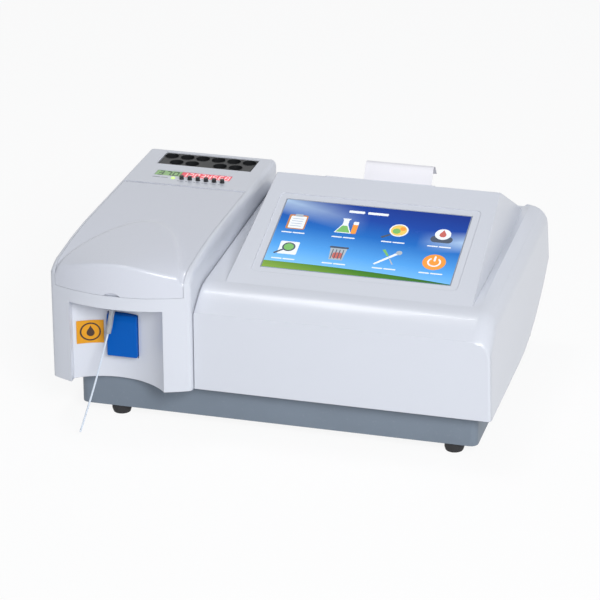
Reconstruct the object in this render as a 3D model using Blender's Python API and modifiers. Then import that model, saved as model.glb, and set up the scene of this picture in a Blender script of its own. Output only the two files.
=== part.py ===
"""Bench-top blood chemistry analyzer: a low white housing with a sloping touch screen, a left module with a
flow-cell lid, incubator wells and an aspirate key, and a grey base tray that carries the works.

Drawn in metres in the instrument's own frame: X to the right from the seam between the two housings, Y back
from the main housing's front face, Z up from the bench. One empty carries every part and puts the middle of
the object's footprint at the world origin.
"""

import math

import bmesh
import bpy
from mathutils import Matrix, Vector

MM = 0.001

# Clearances and shared values
GAP = 0.3 * MM
RUNNING_GAP = 0.5 * MM
OVERRUN = 5 * MM
MERGE = 0.002 * MM
FINE_SIDES = 10
ROUND_SIDES = 16
LARGE_SIDES = 24

# Main housing, front and shoulders
FOOT_HEIGHT = 8 * MM
WALL = 2.5 * MM
SEAM_GAP = 0.6 * MM
HOUSING_WIDTH = 237.5 * MM
HOUSING_DRAFT = 2 * MM
SKIRT_Z = 35 * MM
SKIRT_RISE = 43 * MM
SKIRT_RISE_START = 120 * MM
FRONT_CREASE_Z = 100.5 * MM
EDGE_RADIUS = 3 * MM
BAND_DEPTH = 31 * MM
BAND_RISE = 15.8 * MM
SHOULDER_CLIMB = 6.7 * MM
SHOULDER_RADIUS = 15 * MM
SHOULDER_SWELL = 2.2 * MM
REAR_LEAN_SHARE = 0.21

# Raised display wedge and the deck behind it
WEDGE_LEFT = 16.8 * MM
WEDGE_RIGHT_INSET = 20.7 * MM
WEDGE_LEAN_SHARE = 0.14
WEDGE_EDGE = 1.2 * MM
WEDGE_TILT = math.radians(18.8)
WEDGE_LENGTH = 140.5 * MM
DECK_LENGTH = 70 * MM
DECK_REAR = 14 * MM
DECK_DROP_SHARES = ((0, 1), (0.05, 0.962), (0.8, 0.2), (0.9, 0.085), (1, 0))

# Left module housing and the roof line that it shares with the lid
MODULE_WIDTH = 115.7 * MM
MODULE_CORNER = 3 * MM
ROOF_Z = 140 * MM
ROOF_FALL = 7 * MM
ROOF_FALL_START = 95 * MM
ROOF_FALL_POWER = 2.2
ROLL_START = 8 * MM
ROLL_RADIUS = 22 * MM
CHEEK_WIDTH = 5 * MM
CHEEK_ROUND = 7.5 * MM
FRONT_ARC_RADIUS = 124 * MM
FRONT_ARC_BULGE = 19 * MM
REAR_CAVITY_BEHIND_HINGE = 6 * MM
REAR_CAVITY_FLOOR = 60 * MM
COMPARTMENT_FLOOR = 82 * MM
COMPARTMENT_FRONT = 18 * MM
COMPARTMENT_SIDE = 8.5 * MM
SHELF_THICKNESS = 3 * MM
SHELF_DEPTH = 28 * MM
SHELF_WIDTH = 64 * MM
MODULE_POST_X = 30 * MM
MODULE_POST_FRONT_Y = 40 * MM
MODULE_POST_REAR_Y = 150 * MM

# Sampling recess under the lip, placed from the middle of the module
RECESS_LEFT = -40 * MM
RECESS_RIGHT = 37.2 * MM
RECESS_TOP = 104 * MM
RECESS_RADIUS = 58 * MM
RECESS_APEX = -5.3 * MM
RECESS_APEX_Y = 6 * MM

# Flow-cell lid
LID_WALL = 2.2 * MM
LID_SEAM_Z = 115 * MM
HINGE_BEFORE_STRIP = 22.9 * MM
LID_KNUCKLE = 2.6 * MM
LID_PIN_RADIUS = 1 * MM
LID_PIN_SEAT = 1.6 * MM
LID_EDGE_RADIUS = 2.5 * MM
LID_STATIONS = 17
LID_RUN_SHARES = (0.05, 0.12, 0.2, 0.3, 0.4, 0.52, 0.75, 1)
BROW_SHIFT = -0.4 * MM
BROW_HALF_WIDTH = 51.5 * MM
BROW_APEX_Y = 83 * MM
BROW_FRONT_RUN = 3 * MM
BROW_RISE = 1.3 * MM
BROW_FRONT_RISE = 0.8 * MM
BROW_DROP_FRONT = 14.5 * MM
BROW_DROP_BACK = 1.5 * MM
BROW_DROP_FADE = 25 * MM
BROW_RIM = 4 * MM
NOTCH_SHIFT = -2.3 * MM
NOTCH_RADIUS = 10 * MM
NOTCH_HEIGHT = 2.8 * MM

# Base tray and feet
BASE_LEFT_INSET = 18 * MM
BASE_RIGHT_INSET = 10.5 * MM
BASE_FRONT_GAP = 0.7 * MM
BASE_REAR_INSET = 8.5 * MM
BASE_WALL = 2.5 * MM
BASE_CORNER = 6 * MM
BASE_OVERLAP = 6 * MM
FOOT_RADIUS = 8 * MM
FOOT_TAPER = 1 * MM
FOOT_TREAD = 3 * MM
FOOT_SCREW_RADIUS = 3 * MM
FOOT_SCREW_DEPTH = 4 * MM
FOOT_LEFT_INSET = 31.3 * MM
FOOT_RIGHT_INSET = 19.6 * MM
FOOT_FRONT_INSET = 8.8 * MM
FOOT_REAR_INSET = 14.5 * MM
POST_RADIUS = 4.5 * MM
POST_MARGIN = 1 * MM
POST_LEFT_X = 12 * MM
POST_FRONT_Y = 26 * MM

# Ground terminal on the right side
TERMINAL_BEFORE_REAR = 42 * MM
TERMINAL_Z = 23.6 * MM
TERMINAL_RADIUS = 3.2 * MM
TERMINAL_LENGTH = 3 * MM
STUD_RADIUS = 1.3 * MM
STUD_PROUD = 1.5 * MM
STUD_REACH = 3 * MM

# Incubator, placed from the middle of the module
BLOCK_SHIFT = 2.2 * MM
BLOCK_WIDTH = 82.6 * MM
BLOCK_LENGTH = 28.9 * MM
BLOCK_HEIGHT = 38 * MM
BLOCK_REAR_INSET = 4.8 * MM
BLOCK_FLANGE = 3 * MM
BLOCK_SUNK = 0.5 * MM
BLOCK_EDGE = 0.8 * MM
WELL_RADIUS_SHARE = 0.4332
WELL_DEPTH = 32 * MM
WELL_PITCH_SHARE = 0.1677
WELL_ROW_SHARE = 0.4844
WELL_FRONT_SHARE = 0.8953
REAR_WELLS = 6
HEATER_THICKNESS = 1.5 * MM
HEATER_MARGIN = 4 * MM

# Timer strip: displays, lamp and keys, placed from the middle of the module and from the block's front
STRIP_BEFORE_BLOCK = 15 * MM
STRIP_LENGTH = 11.4 * MM
TEMPERATURE_LEFT = -33.2 * MM
TEMPERATURE_WIDTH = 21.5 * MM
TIMER_WIDTH = 43.5 * MM
DISPLAY_SPACING = 0.6 * MM
DISPLAY_SUNK = 0.4 * MM
KEY_COUNT = 6
KEY_START = -7.4 * MM
KEY_PITCH = 7.12 * MM
KEY_RADIUS = 1.9 * MM
KEY_PROUD = 3 * MM
KEY_COLLAR = 0.9 * MM
KEY_COLLAR_HEIGHT = 2.2 * MM
KEY_TRAVEL = 0.8 * MM
KEYS_BEFORE_STRIP = 5.3 * MM
LAMP_BESIDE_KEYS = 7.6 * MM
LAMP_DOT_RADIUS = 1.6 * MM
LAMP_DOT_PROUD = 0.8 * MM
BOARD_DROP = 10.4 * MM
BOARD_THICKNESS = 1.6 * MM
BOARD_MARGIN = 6.6 * MM
TACT_SIDE = 4 * MM

# Aspirate key, its pin and its switch
PADDLE_SHIFT = -1.3 * MM
PADDLE_WIDTH = 25 * MM
PADDLE_BOTTOM = 55.5 * MM
PADDLE_HEIGHT = 35.5 * MM
PADDLE_PROUD = 6.3 * MM
PADDLE_DEPTH = 11 * MM
PADDLE_CHAMFER_HEIGHT = 5 * MM
PADDLE_CHAMFER_DEPTH = 1.8 * MM
PADDLE_EDGE = 1 * MM
PADDLE_TURN = math.radians(4)
PADDLE_SWING_GAP = 1.2 * MM
PADDLE_PIN_BELOW_TOP = 4.5 * MM
PADDLE_PIN_BEFORE_REAR = 2.5 * MM
PADDLE_PIN_RADIUS = 1 * MM
PADDLE_PIN_SEAT = 2 * MM
PADDLE_FRAME = 4 * MM
PLUNGER_RADIUS = 1.4 * MM
MICRO_SWITCH_WIDTH = 14 * MM
MICRO_SWITCH_DEPTH = 7 * MM
MICRO_SWITCH_HEIGHT = 9 * MM
MICRO_SWITCH_ABOVE = 3 * MM

# Sticker on the recess wall
STICKER_LEFT = -37.4 * MM
STICKER_WIDTH = 20 * MM
STICKER_BOTTOM = 64.5 * MM
STICKER_HEIGHT = 19.5 * MM
STICKER_THICKNESS = 0.35 * MM

# Sipper tube and clip: it leaves the flow cell, dips through the lip and leans forward and to the left
SIPPER_RADIUS = 0.8 * MM
PORT_SHIFT = -5.7 * MM
PORT_Y = -3.2 * MM
PORT_BORE = 3 * MM
SIPPER_LEAN_X = 19.2 * MM
SIPPER_LEAN_Y = 34.4 * MM
SIPPER_TIP_Z = 4 * MM
SIPPER_SMOOTH = 2
SIPPER_INNER_SHARES = (
    (0, 0, 0), (0.03, 0.15, -0.25), (0.25, 0.48, -0.5), (0.6, 0.8, -0.4), (0.86, 0.97, 0.23))
SIPPER_OUTER_SHARES = (
    (0, 0, 0), (0.062, 0.023, 0.088), (0.151, 0.041, 0.186), (0.25, 0.07, 0.284), (0.385, 0.169, 0.412),
    (0.552, 0.328, 0.569), (0.74, 0.576, 0.755), (1, 1, 1))
CLIP_LENGTH = 26 * MM
CLIP_RADIUS = 2.4 * MM
CLIP_BORE = 1.15 * MM
CLIP_PLATE = 1.6 * MM
CLIP_PLATE_WIDTH = 10 * MM
CLIP_PLATE_LENGTH = 8 * MM

# Flow cell and detector, centred on the light beam
BEAM_SHARE = 0.5
BEAM_Z = 97 * MM
BEAM_RADIUS = 4 * MM
BEAM_PORT = 5 * MM
CELL_SIDE = 12.5 * MM
CELL_HEIGHT = 33 * MM
CELL_FLOOR = 4 * MM
NIPPLE_RADIUS = 1.8 * MM
NIPPLE_LENGTH = 3 * MM
HOLDER_WIDTH = 40 * MM
HOLDER_LENGTH = 36 * MM
HOLDER_ABOVE_BEAM = 13 * MM
HOLDER_EDGE = 1.5 * MM
DETECTOR_WIDTH = 32 * MM
DETECTOR_HEIGHT = 25 * MM
DETECTOR_CAN_RADIUS = 3.4 * MM
DETECTOR_CAN_LENGTH = 5 * MM

# Peristaltic pump
PUMP_BEFORE_HINGE = 41 * MM
PUMP_RADIUS = 26 * MM
PUMP_BASE = 4 * MM
PUMP_HEIGHT = 26 * MM
TRACK_RADIUS = 20.4 * MM
ROLLER_COUNT = 3
ROLLER_ORBIT = 12 * MM
ROLLER_RADIUS = 4.4 * MM
ROLLER_HEIGHT = 12 * MM
ROLLER_PIN_RADIUS = 1.5 * MM
ROTOR_LIFT = 2 * MM
ROTOR_RADIUS = 16.3 * MM
ROTOR_DISC = 4 * MM
ROTOR_HUB_RADIUS = 5 * MM
PUMP_SHAFT_RADIUS = 2.5 * MM
PUMP_TUBE_RADIUS = 1.5 * MM
PUMP_TUBE_RUN = 30 * MM
PUMP_MOTOR_RADIUS = 18 * MM
PUMP_MOTOR_LENGTH = 42 * MM
PUMP_BOSS_RADIUS = 6 * MM
PUMP_BOSS_LENGTH = 2 * MM

# Lamp, filter wheel and their bench
BENCH_LEFT = 20 * MM
BENCH_WIDTH = 90 * MM
BENCH_LENGTH = 52 * MM
BENCH_Z = 50 * MM
BENCH_PLATE = 3 * MM
WHEEL_LEFT = 27 * MM
WHEEL_THICKNESS = 4 * MM
WHEEL_RADIUS = 24 * MM
WHEEL_ORBIT = 18 * MM
WHEEL_SHAFT_RADIUS = 1.5 * MM
WHEEL_HUB_RADIUS = 4 * MM
WHEEL_TO_BRACKET = 3 * MM
FILTER_COUNT = 8
FILTER_RADIUS = 4 * MM
BRACKET_THICKNESS = 2 * MM
BRACKET_WIDTH = 24 * MM
BRACKET_ABOVE_SHAFT = 12 * MM
FILTER_MOTOR_RADIUS = 10.5 * MM
FILTER_MOTOR_LENGTH = 18 * MM
LAMP_LEFT = 66 * MM
LAMP_BOX_WIDTH = 38 * MM
LAMP_BOX_LENGTH = 32 * MM
LAMP_BORE = 8 * MM
LAMP_WALL = 3 * MM
LAMP_GLASS_RADIUS = 5.5 * MM
LAMP_GLASS_LENGTH = 18 * MM
LAMP_BASE_LENGTH = 14 * MM
FIN_COUNT = 5
FIN_SLOT = 3 * MM
FIN_DEPTH = 5 * MM

# Touch screen, placed along the slope from its lower edge
SCREEN_WIDTH_SHARE = 0.7695
SCREEN_LENGTH = 85.8 * MM
SCREEN_SHIFT = 0.1 * MM
SCREEN_START_SHARE = 0.4186
RECESS_MARGIN = 6.5 * MM
SCREEN_RECESS = 0.7 * MM
SCREEN_RECESS_CORNER = 4 * MM
SCREEN_BELOW_RECESS = 0.2 * MM
SCREEN_BODY_MARGIN = 5.5 * MM
SCREEN_BODY_DEPTH = 7 * MM
BRACKET_PLATE = 1.5 * MM
BRACKET_LENGTH = 50 * MM

# Thermal printer, drawn along the deck behind the crest
PRINTER_SHARE = 0.45684
PRINTER_START = 1.6 * MM
PRINTER_WIDTH = 93 * MM
PRINTER_LENGTH = 57 * MM
PRINTER_CORNER = 2 * MM
PRINTER_PROUD = 1 * MM
PRINTER_PLATE = 2.4 * MM
PAPER_SHIFT = 14.5 * MM
PAPER_WIDTH = 57 * MM
PAPER_THICKNESS = 0.25 * MM
RAIL_LENGTH = 2.6 * MM
PAPER_SLOT = 1.6 * MM
THROAT_DEPTH = 13 * MM
HEEL_DEPTH = 8 * MM
BUCKET_WALL = 1.2 * MM
PAPER_ROLL_RADIUS = 17 * MM
PAPER_ROLL_CORE = 5 * MM
PAPER_ROLL_Y = 31.5 * MM
PAPER_ROLL_DEPTH = 23.1 * MM
COVER_MARGIN = 1.5 * MM
COVER_LENGTH = 47 * MM
COVER_PLATE = 2.4 * MM
COVER_PROUD = 0.5 * MM
COVER_KNUCKLE = 2.4 * MM
COVER_PIN_RADIUS = 0.9 * MM
COVER_PIN_SEAT = 0.5 * MM
PLATEN_RADIUS = 4 * MM
PLATEN_DEPTH = 6.5 * MM
PLATEN_SHAFT_RADIUS = 1.5 * MM
EAR_THICKNESS = 2 * MM
EAR_RADIUS = 3 * MM
HEAD_THICKNESS = 1 * MM
HEAD_HEIGHT = 9 * MM
HEAD_DEPTH = 2.5 * MM
FEED_INSET = 13.2 * MM
FEED_Y = 18 * MM
FEED_RADIUS = 4 * MM
FEED_COLLAR = 1.2 * MM
FEED_COLLAR_HEIGHT = 1.5 * MM
FEED_TRAVEL = 1 * MM
SHEET_RISE = 15 * MM
SHEET_BEND_RADIUS = 5 * MM
SHEET_BEND = math.radians(114)
SHEET_TAIL = 9 * MM

# Electronics on the base's floor
BOARD_START_SHARE = 0.5137
BOARD_Y = 30 * MM
BOARD_WIDTH_SHARE = 0.3537
BOARD_SHARE = 0.4194
STANDOFF_HEIGHT = 7 * MM
STANDOFF_RADIUS = 3 * MM
STANDOFF_INSET = 6 * MM
CHIP_SHARES = ((0.2, 0.3, 0.3, 0.2), (0.6, 0.25, 0.2, 0.15), (0.2, 0.65, 0.2, 0.15), (0.5, 0.6, 0.35, 0.22))
CHIP_HEIGHT = 3 * MM
SUPPLY_START_SHARE = 0.4716
SUPPLY_BEHIND_BOARD = 11 * MM
SUPPLY_WIDTH_SHARE = 0.3874
SUPPLY_LENGTH = 52 * MM
SUPPLY_HEIGHT = 38 * MM
SUPPLY_SLOTS = 8
SUPPLY_SLOT_WIDTH = 3 * MM
SUPPLY_SLOT_DEPTH = 2 * MM

# Cooling fan behind the rear grille
FAN_X = 40 * MM
FAN_Z = 44 * MM
FAN_SIDE = 40 * MM
FAN_DEPTH = 10 * MM
FAN_RIM = 2.7 * MM
FAN_TIP_GAP = 1 * MM
FAN_HUB = 8 * MM
FAN_BLADES = 7
BLADE_TILT = math.radians(35)
BLADE_THICKNESS = 1.2 * MM
BLADE_CHORD = 7 * MM
FAN_SHAFT_RADIUS = 1.5 * MM
FAN_ARM = 3 * MM
FAN_ARM_DEPTH = 1.6 * MM
GRILLE_SLOTS = 6
GRILLE_SLOT = 2.6 * MM
GRILLE_PITCH = 5.2 * MM

# Power inlet with its rocker switch, and the serial port
INLET_BEFORE_ROCKER = 32 * MM
INLET_Z = 32 * MM
INLET_WALL = 2.5 * MM
INLET_DEPTH = 24 * MM
INLET_FLANGE = 3 * MM
INLET_PLATE = 2.4 * MM
SOCKET_WIDTH = 21 * MM
SOCKET_HEIGHT = 14 * MM
SOCKET_DEPTH = 15 * MM
PRONG_WIDTH = 4 * MM
PRONG_THICKNESS = 2 * MM
PRONG_LENGTH = 9 * MM
PRONG_SPACING = 6 * MM
ROCKER_INSET = 33.5 * MM
ROCKER_WIDTH = 13 * MM
ROCKER_HEIGHT = 15 * MM
ROCKER_THICKNESS = 5 * MM
ROCKER_TILT = math.radians(9)
ROCKER_GAP = 0.9 * MM
ROCKER_POCKET = 9 * MM
ROCKER_PIN_RADIUS = 1 * MM
ROCKER_PIN_SEAT = 1 * MM
SERIAL_SHARE = 0.4421
SERIAL_Z = 30 * MM
SERIAL_WIDTH = 31 * MM
SERIAL_HEIGHT = 12.5 * MM
SERIAL_PLATE = 1 * MM
SERIAL_BODY_WIDTH = 19 * MM
SERIAL_BODY_HEIGHT = 10.5 * MM
SERIAL_BODY_DEPTH = 9 * MM
SERIAL_SHELL_WIDTH = 17 * MM
SERIAL_SHELL_HEIGHT = 8.6 * MM
SERIAL_SHELL_DEPTH = 5.5 * MM
SERIAL_SHELL_WALL = 0.8 * MM
SERIAL_SLANT_SHARE = 0.1

# Places that follow from the sizes
FLOOR_TOP = FOOT_HEIGHT + BASE_WALL
SHOULDER_Z = FRONT_CREASE_Z + BAND_RISE
WEDGE_RIGHT = HOUSING_WIDTH - WEDGE_RIGHT_INSET
CREST_Y = BAND_DEPTH + WEDGE_LENGTH * math.cos(WEDGE_TILT)
CREST_Z = SHOULDER_Z + WEDGE_LENGTH * math.sin(WEDGE_TILT)
DECK_END_Y = CREST_Y + DECK_LENGTH
HOUSING_DEPTH = DECK_END_Y + DECK_REAR
DECK_END_Z = SHOULDER_Z + SHOULDER_CLIMB
SKIRT_REAR_Z = SKIRT_Z + SKIRT_RISE
MODULE_RIGHT = -SEAM_GAP / 2
MODULE_LEFT = MODULE_RIGHT - MODULE_WIDTH
MODULE_X = (MODULE_LEFT + MODULE_RIGHT) / 2
FRONT_ARC_Y = FRONT_ARC_RADIUS - FRONT_ARC_BULGE
FRONT_REACH = -FRONT_ARC_BULGE - OVERRUN
ROOF_UNDER = ROOF_Z - WALL
COMPARTMENT_UNDER = COMPARTMENT_FLOOR - WALL
CEILING = ROOF_Z + CREST_Z
BASE_LEFT = MODULE_LEFT + BASE_LEFT_INSET
BASE_RIGHT = HOUSING_WIDTH - BASE_RIGHT_INSET
PRINTER_X = HOUSING_WIDTH * PRINTER_SHARE
BOARD_X = HOUSING_WIDTH * BOARD_START_SHARE
BOARD_WIDTH = HOUSING_WIDTH * BOARD_WIDTH_SHARE
SUPPLY_X = HOUSING_WIDTH * SUPPLY_START_SHARE
SUPPLY_WIDTH = HOUSING_WIDTH * SUPPLY_WIDTH_SHARE
ROCKER_X = HOUSING_WIDTH - ROCKER_INSET
INLET_X = ROCKER_X - INLET_BEFORE_ROCKER
SERIAL_X = HOUSING_WIDTH * SERIAL_SHARE
BASE_FRONT = RECESS_APEX_Y + WALL + BASE_FRONT_GAP
BASE_REAR = HOUSING_DEPTH - BASE_REAR_INSET
TERMINAL_Y = HOUSING_DEPTH - TERMINAL_BEFORE_REAR
BOARD_LENGTH = HOUSING_DEPTH * BOARD_SHARE
SUPPLY_Y = BOARD_Y + BOARD_LENGTH + SUPPLY_BEHIND_BOARD
LID_LEFT = MODULE_LEFT + CHEEK_WIDTH + RUNNING_GAP
LID_RIGHT = MODULE_RIGHT - CHEEK_WIDTH - RUNNING_GAP
LID_HINGE_Z = ROOF_Z - LID_KNUCKLE
BROW_X = MODULE_X + BROW_SHIFT
BROW_LENGTH = BROW_APEX_Y + BROW_FRONT_RUN
RECESS_X = MODULE_X + RECESS_APEX
SHELF_Z = RECESS_TOP + SHELF_THICKNESS
PADDLE_X = MODULE_X + PADDLE_SHIFT
PADDLE_FRONT = RECESS_APEX_Y - PADDLE_PROUD
PADDLE_REAR = PADDLE_FRONT + PADDLE_DEPTH
PADDLE_TOP = PADDLE_BOTTOM + PADDLE_HEIGHT
PADDLE_PIN_Y = PADDLE_REAR - PADDLE_PIN_BEFORE_REAR
PADDLE_PIN_Z = PADDLE_TOP - PADDLE_PIN_BELOW_TOP
PADDLE_THROW = (PADDLE_PIN_Z - PADDLE_BOTTOM) * math.sin(PADDLE_TURN)
PADDLE_WELL_REAR = PADDLE_REAR + PADDLE_THROW + PADDLE_SWING_GAP
BLOCK_X = MODULE_X + BLOCK_SHIFT
BLOCK_Y = HOUSING_DEPTH - BLOCK_REAR_INSET - BLOCK_LENGTH / 2
BLOCK_TOP = ROOF_Z - BLOCK_SUNK
BLOCK_BOTTOM = BLOCK_TOP - BLOCK_HEIGHT
WELL_PITCH = BLOCK_WIDTH * WELL_PITCH_SHARE
WELL_RADIUS = WELL_PITCH * WELL_RADIUS_SHARE
WELL_FRONT_OFFSET = WELL_PITCH * WELL_FRONT_SHARE
WELL_ROW_PITCH = BLOCK_LENGTH * WELL_ROW_SHARE
STRIP_REAR = BLOCK_Y - BLOCK_LENGTH / 2 - STRIP_BEFORE_BLOCK
STRIP_FRONT = STRIP_REAR - STRIP_LENGTH
LID_HINGE_Y = STRIP_FRONT - HINGE_BEFORE_STRIP
LID_REAR_EDGE = LID_HINGE_Y + LID_KNUCKLE + GAP
REAR_CAVITY_START = LID_HINGE_Y + REAR_CAVITY_BEHIND_HINGE
PUMP_Y = LID_HINGE_Y - PUMP_BEFORE_HINGE
BEAM_Y = PUMP_Y * BEAM_SHARE
STRIP_LEFT = MODULE_X + TEMPERATURE_LEFT
STRIP_RIGHT = STRIP_LEFT + TEMPERATURE_WIDTH + DISPLAY_SPACING + TIMER_WIDTH
KEY_X = MODULE_X + KEY_START
KEY_Y = STRIP_FRONT - KEYS_BEFORE_STRIP
LAMP_DOT_X = KEY_X - LAMP_BESIDE_KEYS
BOARD_TOP = ROOF_Z - BOARD_DROP
KEY_BOTTOM = BOARD_TOP + KEY_TRAVEL + TACT_SIDE / 2 + 2 * GAP
CELL_X = MODULE_X
CELL_BOTTOM = COMPARTMENT_FLOOR + GAP + CELL_FLOOR + GAP
CELL_TOP = CELL_BOTTOM + CELL_HEIGHT
NIPPLE_Z = CELL_TOP - 2 * NIPPLE_RADIUS
NIPPLE_END = BEAM_Y - CELL_SIDE / 2 - NIPPLE_LENGTH
PORT_X = MODULE_X + PORT_SHIFT
SIPPER_TIP_Y = PORT_Y - SIPPER_LEAN_Y
PUMP_FLOOR = COMPARTMENT_FLOOR + GAP
ROTOR_Z = PUMP_FLOOR + PUMP_BASE + ROTOR_LIFT
ROLLER_Z = ROTOR_Z + ROTOR_DISC + GAP
WHEEL_Z = BEAM_Z - WHEEL_ORBIT
WHEEL_RIGHT = WHEEL_LEFT + WHEEL_THICKNESS
BRACKET_X = WHEEL_RIGHT + WHEEL_TO_BRACKET
BENCH_TOP = BENCH_Z + BENCH_PLATE
SCREEN_WIDTH = (WEDGE_RIGHT - WEDGE_LEFT) * SCREEN_WIDTH_SHARE
SCREEN_START = (WEDGE_LENGTH - SCREEN_LENGTH) * SCREEN_START_SHARE
SCREEN_TOP = -SCREEN_RECESS - SCREEN_BELOW_RECESS
SCREEN_SHELF = -WALL - GAP
SCREEN_BACK = SCREEN_SHELF - SCREEN_BODY_DEPTH
FRAME_LEFT = GAP - PRINTER_WIDTH / 2
FRAME_RIGHT = PRINTER_WIDTH / 2 - GAP
FRAME_START = PRINTER_START + GAP
FRAME_END = PRINTER_START + PRINTER_LENGTH - GAP
FRAME_UNDER = PRINTER_PROUD - PRINTER_PLATE
THROAT_Y = FRAME_START + RAIL_LENGTH
PAPER_Y = THROAT_Y + PAPER_SLOT / 2
COVER_START = THROAT_Y + PAPER_SLOT
COVER_HINGE_Y = COVER_START + COVER_LENGTH
COVER_LEFT = PAPER_SHIFT - PAPER_WIDTH / 2 - COVER_MARGIN
COVER_RIGHT = PAPER_SHIFT + PAPER_WIDTH / 2 + COVER_MARGIN
COVER_TOP = PRINTER_PROUD + COVER_PROUD
COVER_HINGE_Z = COVER_TOP - COVER_KNUCKLE
BAY_LEFT = COVER_LEFT - GAP
BAY_RIGHT = COVER_RIGHT + GAP
BAY_END = COVER_HINGE_Y + COVER_KNUCKLE + GAP
HEAD_REAR = THROAT_Y + GAP + HEAD_THICKNESS
PLATEN_Y = HEAD_REAR + RUNNING_GAP + PLATEN_RADIUS
FEED_X = FRAME_LEFT + FEED_INSET
FAN_BORE = FAN_SIDE / 2 - FAN_RIM
FAN_REAR = BASE_REAR - BASE_WALL - GAP
FAN_FRONT = FAN_REAR - FAN_DEPTH
INLET_LEFT = INLET_X - SOCKET_WIDTH / 2 - INLET_WALL
INLET_RIGHT = ROCKER_X + ROCKER_WIDTH / 2 + RUNNING_GAP + INLET_WALL
INLET_HALF_HEIGHT = ROCKER_HEIGHT / 2 + ROCKER_GAP + INLET_WALL
INLET_FACE = BASE_REAR + GAP + INLET_PLATE
ROCKER_Y = INLET_FACE - ROCKER_THICKNESS / 2


def lerp(start, end, share):
    return start + (end - start) * share


def clamp01(value):
    return max(0.0, min(1.0, value))


def smooth_step(value):
    share = clamp01(value)
    return share * share * (3 - 2 * share)


def spread(low, high, count):
    return [lerp(low, high, i / (count - 1)) for i in range(count)]


def from_table(share, table):
    """Straight-line reading of a table of pairs of shares."""
    for (start, low), (end, high) in zip(table, table[1:]):
        if share <= end:
            return lerp(low, high, clamp01((share - start) / (end - start)))
    return table[-1][1]


def edge_inset(distance, radius):
    """How far a rounded edge stands back, at a distance from the face that it runs into."""
    near = max(0.0, radius - distance)
    return radius - math.sqrt(radius**2 - near**2)


def skirt_height(y):
    """Lower edge of the white housings: level, then swept up towards the rear."""
    run = clamp01((y - SKIRT_RISE_START) / (HOUSING_DEPTH - SKIRT_RISE_START))
    return SKIRT_Z + SKIRT_RISE * run * run


def shoulder_height(y):
    """Top of the lower body: a rounded band above the front crease, then a gentle climb to the rear."""
    if y < BAND_DEPTH:
        return FRONT_CREASE_Z + BAND_RISE * math.sin(math.pi / 2 * clamp01(y / BAND_DEPTH))
    return SHOULDER_Z + SHOULDER_CLIMB * clamp01((y - BAND_DEPTH) / (DECK_END_Y - BAND_DEPTH))


def wedge_height(y):
    """How far the display wedge and the deck behind it stand above the shoulders."""
    if y <= BAND_DEPTH or y >= DECK_END_Y:
        return 0.0
    if y <= CREST_Y:
        return SHOULDER_Z + (y - BAND_DEPTH) * math.tan(WEDGE_TILT) - shoulder_height(y)
    left = from_table((y - CREST_Y) / DECK_LENGTH, DECK_DROP_SHARES)
    return lerp(DECK_END_Z, CREST_Z, left) - shoulder_height(y)


def roof_height(y):
    """Module roof line: level at the rear, falling and then rolling over towards the front."""
    fall = ROOF_FALL * max(0.0, (ROOF_FALL_START - y) / ROOF_FALL_START) ** ROOF_FALL_POWER
    over = min(ROLL_RADIUS, max(0.0, ROLL_START - y))
    return ROOF_Z - fall - ROLL_RADIUS + math.sqrt(ROLL_RADIUS**2 - over**2)


def lid_height(x, y):
    """The roof line with the raised brow, whose outline is a parabola that opens towards the front."""
    across = (x - BROW_X) / BROW_HALF_WIDTH
    along = (BROW_APEX_Y - y) / BROW_LENGTH
    slope = math.hypot(2 * across / BROW_HALF_WIDTH, 1 / BROW_LENGTH)
    lift = smooth_step((along - across**2) / slope / BROW_RIM)
    drop = BROW_DROP_BACK + BROW_DROP_FRONT * math.exp(-(y + FRONT_ARC_BULGE) / BROW_DROP_FADE)
    brow = ROOF_Z + BROW_RISE + BROW_FRONT_RISE * clamp01(along) - drop * across**2
    return max(roof_height(y), lerp(roof_height(y), brow, lift))


def front_arc_y(x, inset=0.0):
    """Front of the module in plan, a shallow convex arc."""
    return FRONT_ARC_Y - math.sqrt((FRONT_ARC_RADIUS - inset) ** 2 - (x - MODULE_X) ** 2)


def recess_wall_y(x, grow=0.0):
    """Concave wall of the sampling recess in plan."""
    centre = RECESS_APEX_Y - RECESS_RADIUS
    return centre + math.sqrt((RECESS_RADIUS + grow) ** 2 - (x - RECESS_X) ** 2)


def finished(form):
    bmesh.ops.recalc_face_normals(form, faces=form.faces)
    mesh = bpy.data.meshes.new("shape")
    form.to_mesh(mesh)
    form.free()
    return mesh


def boxes(*corners):
    """One box for each pair of opposite corners."""
    form = bmesh.new()
    for low, high in corners:
        low, high = Vector(low), Vector(high)
        size = [abs(side) for side in high - low]
        place = Matrix.Translation((low + high) / 2) @ Matrix.Diagonal((*size, 1))
        bmesh.ops.create_cube(form, size=1, matrix=place)
    return finished(form)


def rods(*runs, sides=ROUND_SIDES):
    """One capped cylinder for each start, end and radius."""
    form = bmesh.new()
    for start, end, radius in runs:
        start, end = Vector(start), Vector(end)
        turn = (end - start).to_track_quat("Z", "Y").to_matrix().to_4x4()
        bmesh.ops.create_cone(
            form, cap_ends=True, segments=sides, radius1=radius, radius2=radius, depth=(end - start).length,
            matrix=Matrix.Translation((start + end) / 2) @ turn)
    return finished(form)


def prism(outline, low, high, axis="Z"):
    """A flat outline, drawn in the two other axes in X, Y, Z order, pushed along an axis."""
    form = bmesh.new()
    spot = {"X": lambda a, b: (low, a, b), "Y": lambda a, b: (a, low, b), "Z": lambda a, b: (a, b, low)}[axis]
    push = {"X": (high - low, 0, 0), "Y": (0, high - low, 0), "Z": (0, 0, high - low)}[axis]
    face = form.faces.new([form.verts.new(spot(a, b)) for a, b in outline])
    grown = bmesh.ops.extrude_face_region(form, geom=[face])["geom"]
    bmesh.ops.translate(form, vec=push, verts=[v for v in grown if isinstance(v, bmesh.types.BMVert)])
    return finished(form)


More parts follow.
